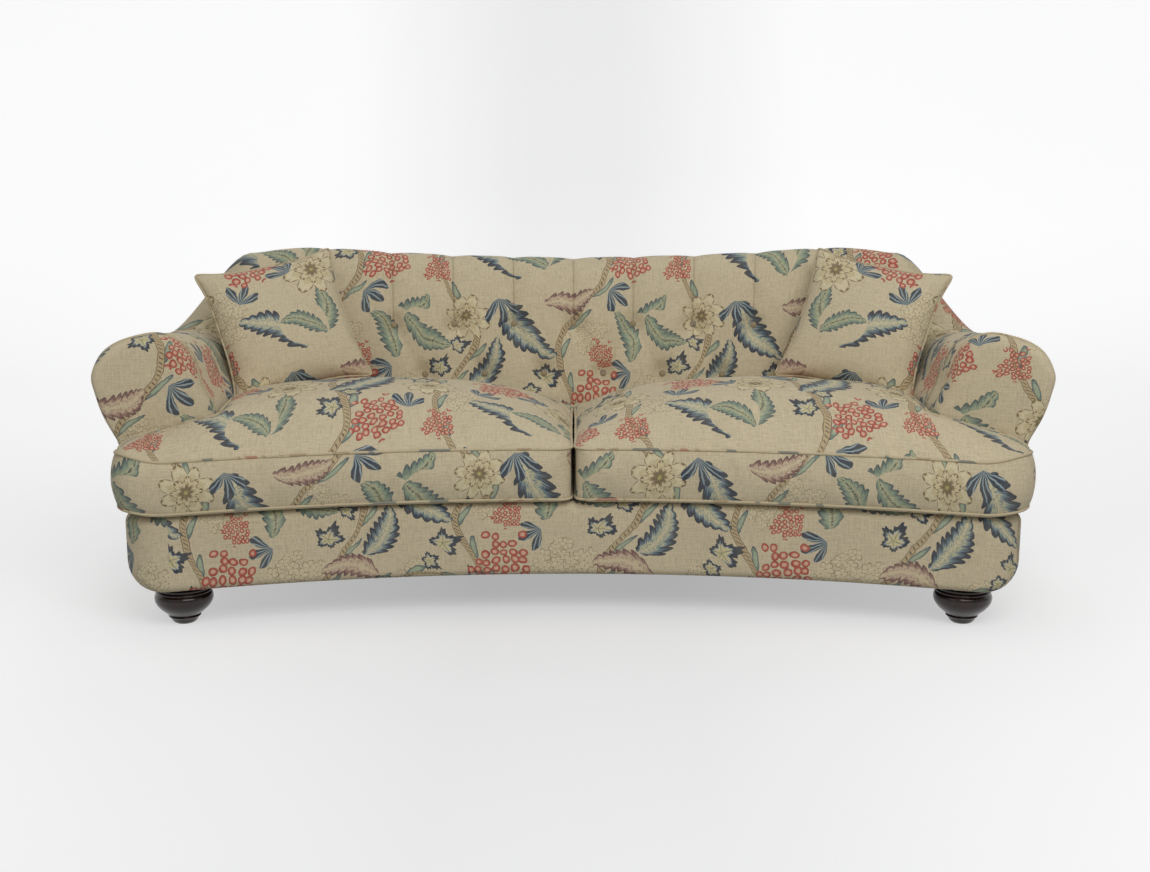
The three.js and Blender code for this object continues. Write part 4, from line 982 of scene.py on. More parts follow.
def bias_linen(name, code, print_share):
    """Print cut into narrow bias strips or rounds: linen with broken patches of the print's colours."""
    nodes = MaterialNodes(name)
    place = nodes.object_place()
    patches = nodes.noise(place, 11.0, 1.0)
    linen = linear(code)
    tint = nodes.ramp(patches, (
        (0, "#4b6068"), (0.36, linen), (0.6, "#9d8767"), (0.65, linen),
        (0.72, "#a8584b"),
    ))
    fibre = nodes.noise(nodes.stretched(place, (900, 900, 900)), 1.0, 1.0)
    colour = nodes.shade(nodes.blend(print_share, linen, tint), fibre, (
        (0.3, (0.82, 0.81, 0.79, 1)), (0.7, (1.08, 1.08, 1.07, 1)),
    ))
    return nodes.finish(
        colour, CLOTH_ROUGHNESS, bump=fibre, bump_strength=0.3, bump_distance=0.0008,
        Sheen_Weight=0.12, Sheen_Roughness=0.5, Specular_IOR_Level=0.25,
    )


def lacquered_wood():
    """Dark stained hardwood under gloss lacquer."""
    nodes = MaterialNodes("lacquered_mahogany")
    place = nodes.object_place()
    figure = nodes.noise(nodes.stretched(place, (18, 18, 5)), 1.0, 4.0, 0.6)
    rings = (figure * 9 + nodes.noise(place, 140.0, 2.0) * 0.6).fract()
    colour = nodes.ramp(rings, (
        (0, "#26140f"), (0.45, "#180c09"), (1, "#331d15"),
    ), "LINEAR")
    roughness = nodes.noise(place, 60.0, 2.0) * 0.12 + 0.16
    return nodes.finish(
        colour, roughness, bump=rings, bump_strength=0.04, bump_distance=0.0005,
        Coat_Weight=0.3, Coat_Roughness=0.06, Specular_IOR_Level=0.35,
    )


def sawn_wood():
    nodes = MaterialNodes("sawn_hardwood")
    place = nodes.object_place()
    figure = nodes.noise(nodes.stretched(place, (3, 40, 40)), 1.0, 4.0, 0.6)
    colour = nodes.ramp(figure, (
        (0.3, "#8d6a42"), (0.55, "#b98f5e"), (0.75, "#c9a677"),
    ), "LINEAR")
    return nodes.finish(colour, 0.7, bump=figure, bump_strength=0.2)


def oiled_steel():
    nodes = MaterialNodes("oiled_steel")
    place = nodes.object_place()
    marks = nodes.noise(place, 45.0, 3.0)
    colour = nodes.ramp(marks, ((0.3, "#5f5f60"), (0.7, "#9a9a99")), "LINEAR")
    return nodes.finish(colour, marks * 0.3 + 0.25, Metallic=1.0)


def jute_webbing():
    nodes = MaterialNodes("jute_webbing")
    place = nodes.object_place()
    weave, cross = (
        nodes.number(nodes.add("ShaderNodeTexWave", {"bands_direction": direction}, {
            "Vector": place, "Scale": 90.0, "Distortion": 1.5, "Detail": 1.0,
        }).outputs["Fac"]) for direction in ("X", "Y")
    )
    threads = weave * 0.5 + cross * 0.5
    colour = nodes.ramp(threads, ((0.2, "#5d4f36"), (0.8, "#96855f")), "LINEAR")
    return nodes.finish(colour, 0.92, bump=threads, bump_strength=0.5)


def dust_cloth():
    nodes = MaterialNodes("black_dust_cloth")
    place = nodes.object_place()
    fibre = nodes.noise(place, 700.0, 2.0)
    dimples = nodes.number(nodes.add("ShaderNodeTexVoronoi", {"feature": "DISTANCE_TO_EDGE"}, {
        "Vector": place, "Scale": 400.0,
    }).outputs["Distance"])
    colour = nodes.ramp(fibre, ((0.3, "#1c1c1e"), (0.7, "#333336")), "LINEAR")
    return nodes.finish(colour, 0.9, bump=dimples, bump_strength=0.3)


MATERIALS = {}


def material(key, maker, *values):
    """One shared material for each key."""
    if key not in MATERIALS:
        MATERIALS[key] = maker(*values)
    return MATERIALS[key]


def print_material(name, seam_shaded=False):
    return material(name, printed_linen, name, seam_shaded)


def piping_material():
    return material("piping", bias_linen, "bias_cut_linen", BIAS_COLOUR, BIAS_PRINT_SHARE)


def button_material():
    return material("buttons", bias_linen, "button_linen", BUTTON_COLOUR, BUTTON_PRINT_SHARE)


# Geometry Nodes


def geometry_tree(name, inputs):
    """A new Geometry Nodes tree with named inputs; the geometry comes first."""
    tree = bpy.data.node_groups.new(name, "GeometryNodeTree")
    tree.interface.new_socket("Geometry", in_out="INPUT", socket_type="NodeSocketGeometry")
    for label, kind, default in inputs:
        socket = tree.interface.new_socket(label, in_out="INPUT", socket_type=kind)
        if default is not None:
            socket.default_value = default
    tree.interface.new_socket("Geometry", in_out="OUTPUT", socket_type="NodeSocketGeometry")
    return tree


def geometry_node(tree, kind, settings=None, links=None):
    node = tree.nodes.new(kind)
    for key, value in (settings or {}).items():
        setattr(node, key, value)
    for key, value in (links or {}).items():
        if isinstance(value, bpy.types.NodeSocket):
            tree.links.new(value, node.inputs[key])
        else:
            node.inputs[key].default_value = value
    return node


def close_tree(tree, geometry, cover):
    """Ends a tree in real geometry with its material."""
    real = geometry_node(tree, "GeometryNodeRealizeInstances", links={0: geometry})
    coloured = geometry_node(tree, "GeometryNodeSetMaterial", links={
        "Geometry": real.outputs[0], "Material": cover,
    })
    geometry_node(tree, "NodeGroupOutput", links={0: coloured.outputs[0]})


def piping_tree():
    """Sweeps a round cord along the edges of its input."""
    tree = geometry_tree("upholstery_piping", (
        ("Cord Radius", "NodeSocketFloat", 0.005),
        ("Step", "NodeSocketFloat", 0.012),
        ("Sides", "NodeSocketInt", 10),
        ("Cover", "NodeSocketMaterial", None),
    ))
    given = geometry_node(tree, "NodeGroupInput").outputs
    curve = geometry_node(tree, "GeometryNodeMeshToCurve", links={"Mesh": given["Geometry"]})
    even = geometry_node(tree, "GeometryNodeResampleCurve", {"mode": "LENGTH"}, {
        "Curve": curve.outputs[0], "Length": given["Step"],
    })
    circle = geometry_node(tree, "GeometryNodeCurvePrimitiveCircle", links={
        "Resolution": given["Sides"], "Radius": given["Cord Radius"],
    })
    swept = geometry_node(tree, "GeometryNodeCurveToMesh", links={
        "Curve": even.outputs[0], "Profile Curve": circle.outputs[0], "Fill Caps": True,
    })
    soft = geometry_node(tree, "GeometryNodeSetShadeSmooth", links={"Geometry": swept.outputs[0]})
    close_tree(tree, soft.outputs[0], given["Cover"])
    return tree


def button_tree():
    """Sets a domed, covered button on every point, facing its normal."""
    tree = geometry_tree("covered_buttons", (
        ("Button Radius", "NodeSocketFloat", 0.012),
        ("Dome Share", "NodeSocketFloat", 0.5),
        ("Cover", "NodeSocketMaterial", None),
    ))
    given = geometry_node(tree, "NodeGroupInput").outputs
    ball = geometry_node(tree, "GeometryNodeMeshUVSphere", links={
        "Segments": 24, "Rings": 12, "Radius": given["Button Radius"],
    })
    squash = geometry_node(tree, "ShaderNodeCombineXYZ", links={0: 1.0, 1: 1.0, 2: given["Dome Share"]})
    flat = geometry_node(tree, "GeometryNodeTransform", links={
        "Geometry": ball.outputs[0], "Scale": squash.outputs[0],
    })
    facing = geometry_node(tree, "GeometryNodeInputNamedAttribute", {"data_type": "FLOAT_VECTOR"}, {
        "Name": "facing",
    })
    turn = geometry_node(tree, "FunctionNodeAlignRotationToVector", {"axis": "Z"}, {
        "Vector": facing.outputs[0],
    })
    points = geometry_node(tree, "GeometryNodeMeshToPoints", links={"Mesh": given["Geometry"]})
    placed_buttons = geometry_node(tree, "GeometryNodeInstanceOnPoints", links={
        "Points": points.outputs[0], "Instance": flat.outputs[0], "Rotation": turn.outputs[0],
    })
    soft = geometry_node(tree, "GeometryNodeSetShadeSmooth", links={"Geometry": placed_buttons.outputs[0]})
    close_tree(tree, soft.outputs[0], given["Cover"])
    return tree


def run_tree(piece, tree, values):
    """Runs a tree on a piece and keeps the result as its plain mesh."""
    modifier = piece.modifiers.new(tree.name, "NODES")
    modifier.node_group = tree
    for item in tree.interface.items_tree:
        if item.in_out == "INPUT" and item.name in values:
            modifier[item.identifier] = values[item.name]
    keep_result(piece)
    return piece


def tree_named(maker, name):
    return bpy.data.node_groups.get(name) or maker()


PIPING_STEP = 0.012


def add_piping(name, loops, radius, cover, step=PIPING_STEP):
    """Piping along polylines, each given as points and whether it closes."""
    vertices, edges = [], []
    for points, closed in loops:
        first = len(vertices)
        vertices.extend(np.asarray(points).tolist())
        edges.extend([first + i, first + i + 1] for i in range(len(points) - 1))
        if closed:
            edges.append([len(vertices) - 1, first])
    mesh = bpy.data.meshes.new(name)
    mesh.from_pydata(vertices, edges, [])
    tree = tree_named(piping_tree, "upholstery_piping")
    return run_tree(place_object(name, mesh), tree, {"Cord Radius": radius, "Step": step, "Cover": cover})


# Soft forms


CLOTH_FRAMES = 20
CLOTH_STIFFNESS = 12.0


def cloth_settle(piece, pins, pressure, shrink, reach):
    """Inflates a sewn mesh as cloth, moves no point further than a reach and keeps the result."""
    rest = vertex_places(piece.data)
    group = piece.vertex_groups.new(name="held")
    for weight in np.unique(pins[pins > 0]):
        group.add(np.flatnonzero(pins == weight).tolist(), float(weight), "REPLACE")
    modifier = piece.modifiers.new("settle", "CLOTH")
    settings = {
        "quality": 5, "mass": 0.3, "bending_stiffness": 0.4, "shear_stiffness": CLOTH_STIFFNESS / 2,
        "tension_stiffness": CLOTH_STIFFNESS, "compression_stiffness": CLOTH_STIFFNESS,
        "use_pressure": True, "uniform_pressure_force": pressure, "shrink_min": shrink,
        "vertex_group_mass": group.name,
    }
    for key, value in settings.items():
        setattr(modifier.settings, key, value)
    modifier.settings.effector_weights.gravity = 0
    modifier.collision_settings.use_collision = False
    modifier.point_cache.frame_start = 1
    modifier.point_cache.frame_end = CLOTH_FRAMES
    scene = bpy.context.scene
    for step in range(1, CLOTH_FRAMES + 1):
        scene.frame_set(step)
    settled = vertex_places(evaluated(piece).data)
    piece.modifiers.clear()
    piece.vertex_groups.clear()
    scene.frame_set(1)
    moved = settled - rest
    length = np.linalg.norm(moved, axis=1, keepdims=True)
    move_vertices(piece, rest + moved * np.minimum(1, reach / np.maximum(length, TINY)))


def subdivide(piece):
    modifier = piece.modifiers.new("smooth", "SUBSURF")
    modifier.levels = 1
    modifier.render_levels = 1
    keep_result(piece)
    piece.data.shade_smooth()


def rounded_corners(corners, steps):
    """Outline with each corner rounded by its reach."""
    points = []
    for i in range(len(corners)):
        place, reach = corners[i, :2], corners[i, 2]
        before = corners[i - 1, :2] - place
        after = corners[(i + 1) % len(corners), :2] - place
        share = (np.arange(steps + 1) / steps)[:, None]
        before, after = before / np.linalg.norm(before), after / np.linalg.norm(after)
        points.append(place + reach * (before * (1 - share) ** 2 + after * share ** 2))
    return np.vstack(points)


def even_loop(points, step):
    """A closed outline cut into even steps."""
    closed = np.vstack([points, points[:1]])
    run = np.concatenate([[0], np.cumsum(np.linalg.norm(np.diff(closed, axis=0), axis=1))])
    count = round(run[-1] / step)
    at = np.arange(count) * run[-1] / count
    return np.column_stack([np.interp(at, run, closed[:, k]) for k in range(2)])


def edge_distance(points, outline):
    """Distance from points to a closed outline."""
    edge = np.roll(outline, -1, axis=0) - outline
    to = points[:, None] - outline[None]
    share = np.clip((to * edge).sum(2) / (edge ** 2).sum(1), 0, 1)
    return np.linalg.norm(to - share[..., None] * edge, axis=2).min(1)


FILL_EDGE_SHARE = 0.6


def fill_points(outline, step):
    """Staggered points inside an outline, away from its edge."""
    low, high = outline.min(0), outline.max(0)
    rows = np.arange(low[1] + step / 2, high[1], step * math.sqrt(3) / 2)
    points = []
    for i, row in enumerate(rows):
        start = low[0] + step * (0.5 if i % 2 else 1.0)
        points.extend((x, row) for x in np.arange(start, high[0], step))
    points = np.array(points)
    after = np.roll(outline, -1, axis=0)
    rise = np.where(after[:, 1] == outline[:, 1], TINY, after[:, 1] - outline[:, 1])
    level = points[:, 1:2]
    at = outline[:, 0] + (level - outline[:, 1]) * (after[:, 0] - outline[:, 0]) / rise
    crosses = ((outline[:, 1] > level) != (after[:, 1] > level)) & (points[:, 0:1] < at)
    inside = crosses.sum(1) % 2 == 1
    return points[inside & (edge_distance(points, outline) > step * FILL_EDGE_SHARE)]


SAME_POINT_REACH = 1e-7


def panel_triangles(outline, inner):
    """Triangles that fill an outline and its inner points, anticlockwise."""
    points = np.vstack([outline, inner])
    count = len(outline)
    edges = [(i, (i + 1) % count) for i in range(count)]
    result = delaunay_2d_cdt([Vector(p) for p in points.tolist()], edges, [], 1, SAME_POINT_REACH)
    triangles = np.array([[result[3][v][0] for v in face] for face in result[2]])
    a, b, c = points[triangles[:, 0]], points[triangles[:, 1]], points[triangles[:, 2]]
    turn = (b - a)[:, 0] * (c - a)[:, 1] - (b - a)[:, 1] * (c - a)[:, 0]
    triangles[turn < 0] = triangles[turn < 0][:, ::-1]
    return triangles


def crown_height(x, setback):
    low, high = CUSHION_CORNERS[:, :2].min(0), CUSHION_CORNERS[:, :2].max(0)
    middle, half = (low + high) / 2, (high - low) / 2
    across = np.minimum(np.abs(x - middle[0]) / half[0], 1)
    along = np.minimum(np.abs(setback - middle[1]) / half[1], 1)
    power = CROWN_SHARE_POWERS
    crown = (1 - across ** power["across"]) * (1 - along ** power["along"])
    return CUSHION_CROWN * crown ** power["fullness"]


def lift_end(places):
    """The outer end of a seat cushion curls up off the base."""
    outer = CUSHION_CORNERS[:, 0].max()
    places[:, 2] += END_LIFT * smooth(np.abs(places[:, 0]), outer - END_LIFT_REACH, outer)
    return places


def press_on_seat(places):
    """Bends the lower edge of a scatter cushion up on to the seat cushion's crown."""
    x, y = np.abs(places[:, 0]), places[:, 1] - FRAME_SHIFT
    setback = np.hypot(x, y + CURVE_RADIUS) - CURVE_RADIUS
    seat = CUSHION_WELT_Z + crown_height(x, setback) - SCATTER_SINK
    places[:, 2] = np.maximum(places[:, 2], seat)
    return places


# Sewn seat cushion
CUSHION_STEP = 0.0135
CUSHION_CORNER_STEPS = 10
WELT_RISE = 0.011
LOWER_WELT_Z = CUSHION_BOTTOM + WELT_RISE
WALL_STEPS = 10
WALL_BULGE = 0.007
WALL_ARCH_POWER = 0.8
NEIGHBOUR_GAP = 0.0015
WELT_INSET = 0.005
UNDER_ROUND = 0.022
EMPTY_CROWN_SHARE = 0.9
WALL_RIPPLE_SPAN = 0.1
SLACK_START = 3
SLACK_SIZE = 0.11
SLACK_HEIGHT = 0.004
SLACK_FULL_CROWN = 0.05
PUCKER_GRAIN_START = 7
PUCKER_SIZE = 0.028
PUCKER_DEPTH = 0.0012
PUCKER_START = 0.01
PUCKER_REACH = 0.07
PUCKER_FADE = 0.05
BOXING_START = 0.02
WELT_PIN = 0.6
WALL_PIN = 0.9
SEAT_CLOTH = {"pressure": 4.0, "shrink": -0.012, "reach": 0.014}


FREE_FRONT_REACH = 0.05
FREE_FRONT_SPAN = (0.012, 0.06)
FREE_END_SPAN = (0.96, 1.05)
FREE_END_BACK = 0.14
FREE_END_FADE = 0.03


def free_share(x, setback):
    """How free the cushion's wall is to swell: 1 along the front and the outer end, 0 between neighbours."""
    front = smooth(FREE_FRONT_REACH - setback, 0, FREE_FRONT_REACH) * smooth(x, *FREE_FRONT_SPAN)
    end = smooth(x, *FREE_END_SPAN) * smooth(FREE_END_BACK - setback, 0, FREE_END_FADE)
    return np.maximum(front, end)


class SeatPattern:
    """Sewing pattern of a T-cushion: one panel for its top and its bottom, and the boxing between them."""

    def __init__(self):
        outline = even_loop(rounded_corners(CUSHION_CORNERS, CUSHION_CORNER_STEPS), CUSHION_STEP)
        inner = fill_points(outline, CUSHION_STEP)
        self.count = len(outline)
        self.panel = np.vstack([outline, inner])
        self.triangles = panel_triangles(outline, inner)
        plan = np.column_stack([self.panel[:, 0], arc_y(self.panel[:, 0], self.panel[:, 1])])
        self.ring = plan[:self.count]
        tangent = np.roll(self.ring, -1, axis=0) - np.roll(self.ring, 1, axis=0)
        normal = np.column_stack([tangent[:, 1], -tangent[:, 0]])
        self.outward = normal / np.linalg.norm(tangent, axis=1)[:, None]
        self.free = free_share(outline[:, 0], outline[:, 1])[:, None]
        welt = self.ring - self.outward * WELT_INSET * self.free
        self.plan = np.vstack([welt, plan[self.count:]])
        self.away = np.concatenate([np.zeros(self.count), edge_distance(inner, outline)])
        self.starts = [0, *(len(self.panel) + self.count * j for j in range(WALL_STEPS))]
        self.rings = [np.arange(self.count) + start for start in self.starts]

    def top(self, fill, seed):
        """The crowned panel, with slack over it and puckers along its welt."""
        x, setback = self.panel.T
        crown = crown_height(x, setback)
        slack = grain(x + SLACK_START, setback + SLACK_START, SLACK_SIZE, seed) * SLACK_HEIGHT
        slack *= np.minimum(crown / SLACK_FULL_CROWN, 1)
        places = x + PUCKER_GRAIN_START, setback + PUCKER_GRAIN_START
        pucker = grain(*places, PUCKER_SIZE, seed + 1) * PUCKER_DEPTH
        pucker *= smooth(self.away, 0, PUCKER_START) * smooth(PUCKER_REACH - self.away, 0, PUCKER_FADE)
        crown *= mix(EMPTY_CROWN_SHARE, 1, fill)
        return np.column_stack([self.plan, CUSHION_WELT_Z + crown + slack + pucker])

    def wall(self, seed):
        """Rows of the boxing, which swells where it is free."""
        run = np.arange(self.count) * CUSHION_STEP
        rows = []
        for j in range(1, WALL_STEPS):
            share = j / WALL_STEPS
            arch = math.sin(math.pi * share) ** WALL_ARCH_POWER
            level = np.full(self.count, share * WALL_RIPPLE_SPAN)
            ripple = grain(run, level, PUCKER_SIZE, seed + 2)[:, None] * PUCKER_DEPTH * arch
            out = mix(-NEIGHBOUR_GAP, mix(-WELT_INSET, WALL_BULGE, arch), self.free) + ripple
            height = np.full(self.count, mix(CUSHION_WELT_Z, LOWER_WELT_Z, share))
            rows.append(np.column_stack([self.ring + self.outward * out, height]))
        return rows

    def bottom(self):
        under = mix(LOWER_WELT_Z, CUSHION_BOTTOM, smooth(self.away, 0, UNDER_ROUND))
        return np.column_stack([self.plan, under])

    def faces(self):
        """Faces of top, bottom and boxing, and the print's place at each of their corners."""
        under = self.triangles[:, ::-1]
        faces = self.triangles.tolist() + (under + self.starts[-1]).tolist()
        run = np.concatenate([[0], np.cumsum(np.linalg.norm(np.diff(self.ring, axis=0), axis=1))])
        run = np.append(run, run[-1] + np.linalg.norm(self.ring[0] - self.ring[-1]))
        heights = np.linspace(0, LOWER_WELT_Z - CUSHION_WELT_Z, WALL_STEPS + 1) - BOXING_START
        boxing = []
        for j in range(WALL_STEPS):
            upper, lower = self.rings[j], self.rings[j + 1]
            high, low = heights[j], heights[j + 1]
            for i in range(self.count):
                k = (i + 1) % self.count
                faces.append([upper[i], lower[i], lower[k], upper[k]])
                boxing.append([(run[i], high), (run[i], low), (run[i + 1], low), (run[i + 1], high)])
        parts = (self.panel[self.triangles], self.panel[under], np.array(boxing))
        return faces, np.vstack([part.reshape(-1, 2) for part in parts])

    def pins(self):
        """How firmly each point is held while the cushion is inflated."""
        wall_start, bottom_start = len(self.panel), self.starts[-1]
        pins = np.ones(bottom_start + len(self.panel))
        pins[:wall_start] = 0
        pins[:self.count] = WELT_PIN
        pins[wall_start:bottom_start] = np.tile(WALL_PIN * (1 - self.free[:, 0]), WALL_STEPS - 1)
        return pins.round(1)


def make_seat_cushion(word, side, fill, seed):
    """Sewn T-cushion, inflated as cloth; gives the piece and its two welts."""
    pattern = SeatPattern()
    vertices = np.vstack([pattern.top(fill, seed), *pattern.wall(seed), pattern.bottom()])
    faces, places = pattern.faces()
    vertices[:, 0] *= side
    vertices[:, 1] += FRAME_SHIFT
    if side < 0:
        ends = np.cumsum([0, *(len(face) for face in faces)])
        places = np.vstack([places[start:end][::-1] for start, end in zip(ends[:-1], ends[1:])])
        places[:, 0] *= -1
        faces = [face[::-1] for face in faces]
    faces = [[int(vertex) for vertex in face] for face in faces]
    piece = new_piece(f"seat_cushion_cover_{word}", vertices, faces, places)
    cloth_settle(piece, pattern.pins(), **SEAT_CLOTH)
    settled = lift_end(vertex_places(piece.data))
    move_vertices(piece, settled)
    welts = [(settled[pattern.rings[0]], True), (settled[pattern.rings[-1]], True)]
    subdivide(piece)
    return piece, welts


# Knife-edge scatter cushion
SCATTER_GRID = 44
SCATTER_SWELL_SHARE = 0.9
SCATTER_LUMP_START = 3
SCATTER_LUMP_SHARE = 0.05
SCATTER_LUMP_SIZE = 0.5
SCATTER_SEAM_PIN = 0.25
SCATTER_CLOTH = {"pressure": 3.0, "shrink": -0.01, "reach": 0.012}


def pulled_in(share):
    return 1 - SCATTER_PULL_SHARE * (1 - np.abs(share) ** SCATTER_PULL_POWER)


def scatter_form(u, v, seed):
    """Flat places of a square that is pulled in between its blunt corners, and its swell."""
    blunt = 1 - SCATTER_BLUNT_SHARE * np.abs(u * v) ** SCATTER_BLUNT_POWER
    half = SCATTER_HALF * SCATTER_FULL_SHARE * blunt
    swell = SCATTER_THICKNESS / 2 * np.sqrt(np.clip((1 - u * u) * (1 - v * v), 0, 1)) * SCATTER_SWELL_SHARE
    lumps = grain(u + SCATTER_LUMP_START, v + SCATTER_LUMP_START, SCATTER_LUMP_SIZE, seed)
    swell = swell * (1 + SCATTER_LUMP_SHARE * lumps)
    return half * u * pulled_in(v), half * v * pulled_in(u), swell


def scatter_faces(front, back, flat):
    """Faces of both panels, and the print's place at each of their corners."""
    faces, places = [], []
    for grid, order, flip in ((front, (0, 1, 2, 3), 1), (back, (3, 2, 1, 0), -1)):
        for i in range(SCATTER_GRID):
            for j in range(SCATTER_GRID):
                cell = [(i, j), (i + 1, j), (i + 1, j + 1), (i, j + 1)]
                faces.append([int(grid[cell[k]]) for k in order])
                places.append([flat[cell[k]] * (flip, 1) for k in order])
    return faces, np.array(places).reshape(-1, 2)


def lean_in_corner(places, side):
    """Turns a scatter cushion and stands it in its corner of the sofa."""
    turn = Matrix.Rotation(math.radians(SCATTER_YAW_DEGREES), 4, "Z")
    turn = turn @ Matrix.Rotation(math.radians(-SCATTER_LEAN_DEGREES), 4, "X")
    turn = turn @ Matrix.Rotation(math.radians(SCATTER_ROLL_DEGREES), 4, "Y")
    x, y, z = SCATTER_PLACE
    places = places @ np.array(turn.to_3x3()).T
    return np.column_stack([
        side * (x - places[:, 0]), places[:, 1] + y + FRAME_SHIFT, places[:, 2] + z - SCATTER_SETTLE,
    ])


def make_scatter_cushion(word, side, seed):
    """Square cushion, inflated as cloth and leaned into its corner; gives the piece and its edge."""
    share = np.linspace(-1, 1, SCATTER_GRID + 1)
    u, v = np.meshgrid(share, share, indexing="ij")
    across, up, swell = scatter_form(u, v, seed)
    rim = (np.abs(u) == 1) | (np.abs(v) == 1)
    front = np.arange(rim.size).reshape(rim.shape)
    back = np.where(rim, front, 0)
    back[~rim] = np.arange((~rim).sum()) + front.size
    front_places = np.stack([across, -swell, up], axis=2).reshape(-1, 3)
    back_places = np.stack([across, swell, up], axis=2)[~rim]
    faces, places = scatter_faces(front, back, np.stack([u, v], axis=2) * SCATTER_HALF)
    piece = new_piece(f"scatter_cushion_cover_{word}", np.vstack([front_places, back_places]), faces, places)
    pins = np.zeros(len(piece.data.vertices))
    pins[front[rim]] = SCATTER_SEAM_PIN
    pins[front[::SCATTER_GRID, ::SCATTER_GRID]] = 1
    cloth_settle(piece, pins, **SCATTER_CLOTH)
    settled = press_on_seat(lean_in_corner(vertex_places(piece.data), side))
    move_vertices(piece, settled)
    if side > 0:
        piece.data.flip_normals()
    edge = [*front[:-1, 0], *front[-1, :-1], *front[:0:-1, -1], *front[0, :0:-1]]
    subdivide(piece)
    return piece, [(settled[edge], True)]


class SofaSettings(bpy.types.PropertyGroup):
    """Sizes and colours of the upholstery."""

    pleat_depth: bpy.props.FloatProperty(
        name="Pleat Depth", description="How deep the back's pleats are pulled", default=0.01,
        min=0, max=0.03, unit="LENGTH",
    )
    button_depth: bpy.props.FloatProperty(
        name="Button Depth", description="How deep the buttons are pulled", default=0.016,
        min=0, max=0.03, unit="LENGTH",
    )
    button_radius: bpy.props.FloatProperty(
        name="Button Radius", description="Radius of a covered button", default=0.009,
        min=0.004, max=0.02, unit="LENGTH",
    )
    piping_radius: bpy.props.FloatProperty(
        name="Piping Radius", description="Radius of the covered piping cord", default=0.0034,
        min=0.002, max=0.01, unit="LENGTH",
    )
    cushion_fill: bpy.props.FloatProperty(
        name="Cushion Fill", description="How full the seat cushions are", default=0.7,
        min=0, max=1, subtype="FACTOR",
    )
    backdrop_colour: bpy.props.FloatVectorProperty(
        name="Backdrop", description="Colour of floor and backdrop", default=(0.5, 0.5, 0.5),
        min=0, max=1, size=3, subtype="COLOR",
    )


CHANNEL_STEPS = 28
WRAP_TURN_STEPS = 16
WRAP_ARM_STEPS = 8
BACK_RUN_POINT = 6


class SOFA_OT_inside_back(bpy.types.Operator):
    """Make the channelled, buttoned inside back and its covered buttons"""

    bl_idname = "sofa.inside_back"
    bl_label = "Inside Back"

    def execute(self, context):
        settings = context.scene.sofa
        channel = CHANNEL_WIDTH / CHANNEL_STEPS
        reach = math.floor(BACK_END_X / channel)
        steps = np.concatenate([[-BACK_END_X], np.arange(-reach, reach + 1) * channel, [BACK_END_X]])
        turns = steps_after(0, 1, WRAP_TURN_STEPS)
        alongs = steps_after(0, SPLIT_SHARE, WRAP_ARM_STEPS)
        left = [arm_stations(-1, alongs[::-1]), corner_stations(-1, turns[::-1])]
        right = [corner_stations(1, turns), arm_stations(1, alongs)]
        stations = np.vstack([*left, back_stations(steps), *right])
        offset, z = pad_section(stations, settings.pleat_depth, settings.button_depth)
        offset = offset + soft_waves(offset.shape, BACK_WAVE_HEIGHT, BACK_WAVE_SEED)
        points = beside(stations, offset, z)
        uv = ring_uv(points, run_along(points, BACK_RUN_POINT * SKIN_STEPS))
        piece = loft_piece("inside_back_cover", points, uv, ring_across=True, caps=True)
        mark_hard_edges(piece)
        # The Seam distance feeds the painted shade along the seams in the back's material.
        distance = seam_distance(stations[:, :1], z)
        distance[:, PLEAT_LAST_POINT * SKIN_STEPS:] = SEAM_FAR
        seam = piece.data.attributes.new("Seam", "FLOAT", "POINT")
        seam.data.foreach_set("value", distance.astype(np.float32).ravel())
        cover = print_material("back_linen_print", seam_shaded=True)
        finish_piece(piece, "sofa", cover, ["back_pad"])
        add_buttons(settings)
        return {"FINISHED"}


# Swells of the wadding in back and arms
WAVE_START = 5
WAVE_SIZE = 0.06
WAVE_STATION_STEP = 0.0085
WAVE_POINT_STEP = 0.084
WAVE_FADE_COLUMNS = 8
BACK_WAVE_HEIGHT = 0.0012
BACK_WAVE_SEED = 5
ARM_WAVE_HEIGHT = 0.0015
ARM_WAVE_SEED = 9


def soft_waves(shape, height, seed):
    """Small uneven swells of wadding over the visible skin, for rows of stations."""
    rows, columns = np.arange(shape[0])[:, None], np.arange(shape[1])[None]
    fade = smooth(SKIN_COUNT - columns, 0, WAVE_FADE_COLUMNS)
    along = rows * WAVE_STATION_STEP + WAVE_START
    around = columns * (WAVE_POINT_STEP / SKIN_STEPS) + WAVE_START
    return grain(along, around, WAVE_SIZE, seed) * height * fade


def button_places():
    """Places [x, z] where the pleats meet: on every seam, and below on every channel's middle."""
    for x in np.arange(-SEAM_REACH, SEAM_REACH + 1):
        yield x * CHANNEL_WIDTH, UPPER_BUTTON_Z
    for x in np.arange(-SEAM_REACH, SEAM_REACH):
        yield (x + 0.5) * CHANNEL_WIDTH, LOWER_BUTTON_Z


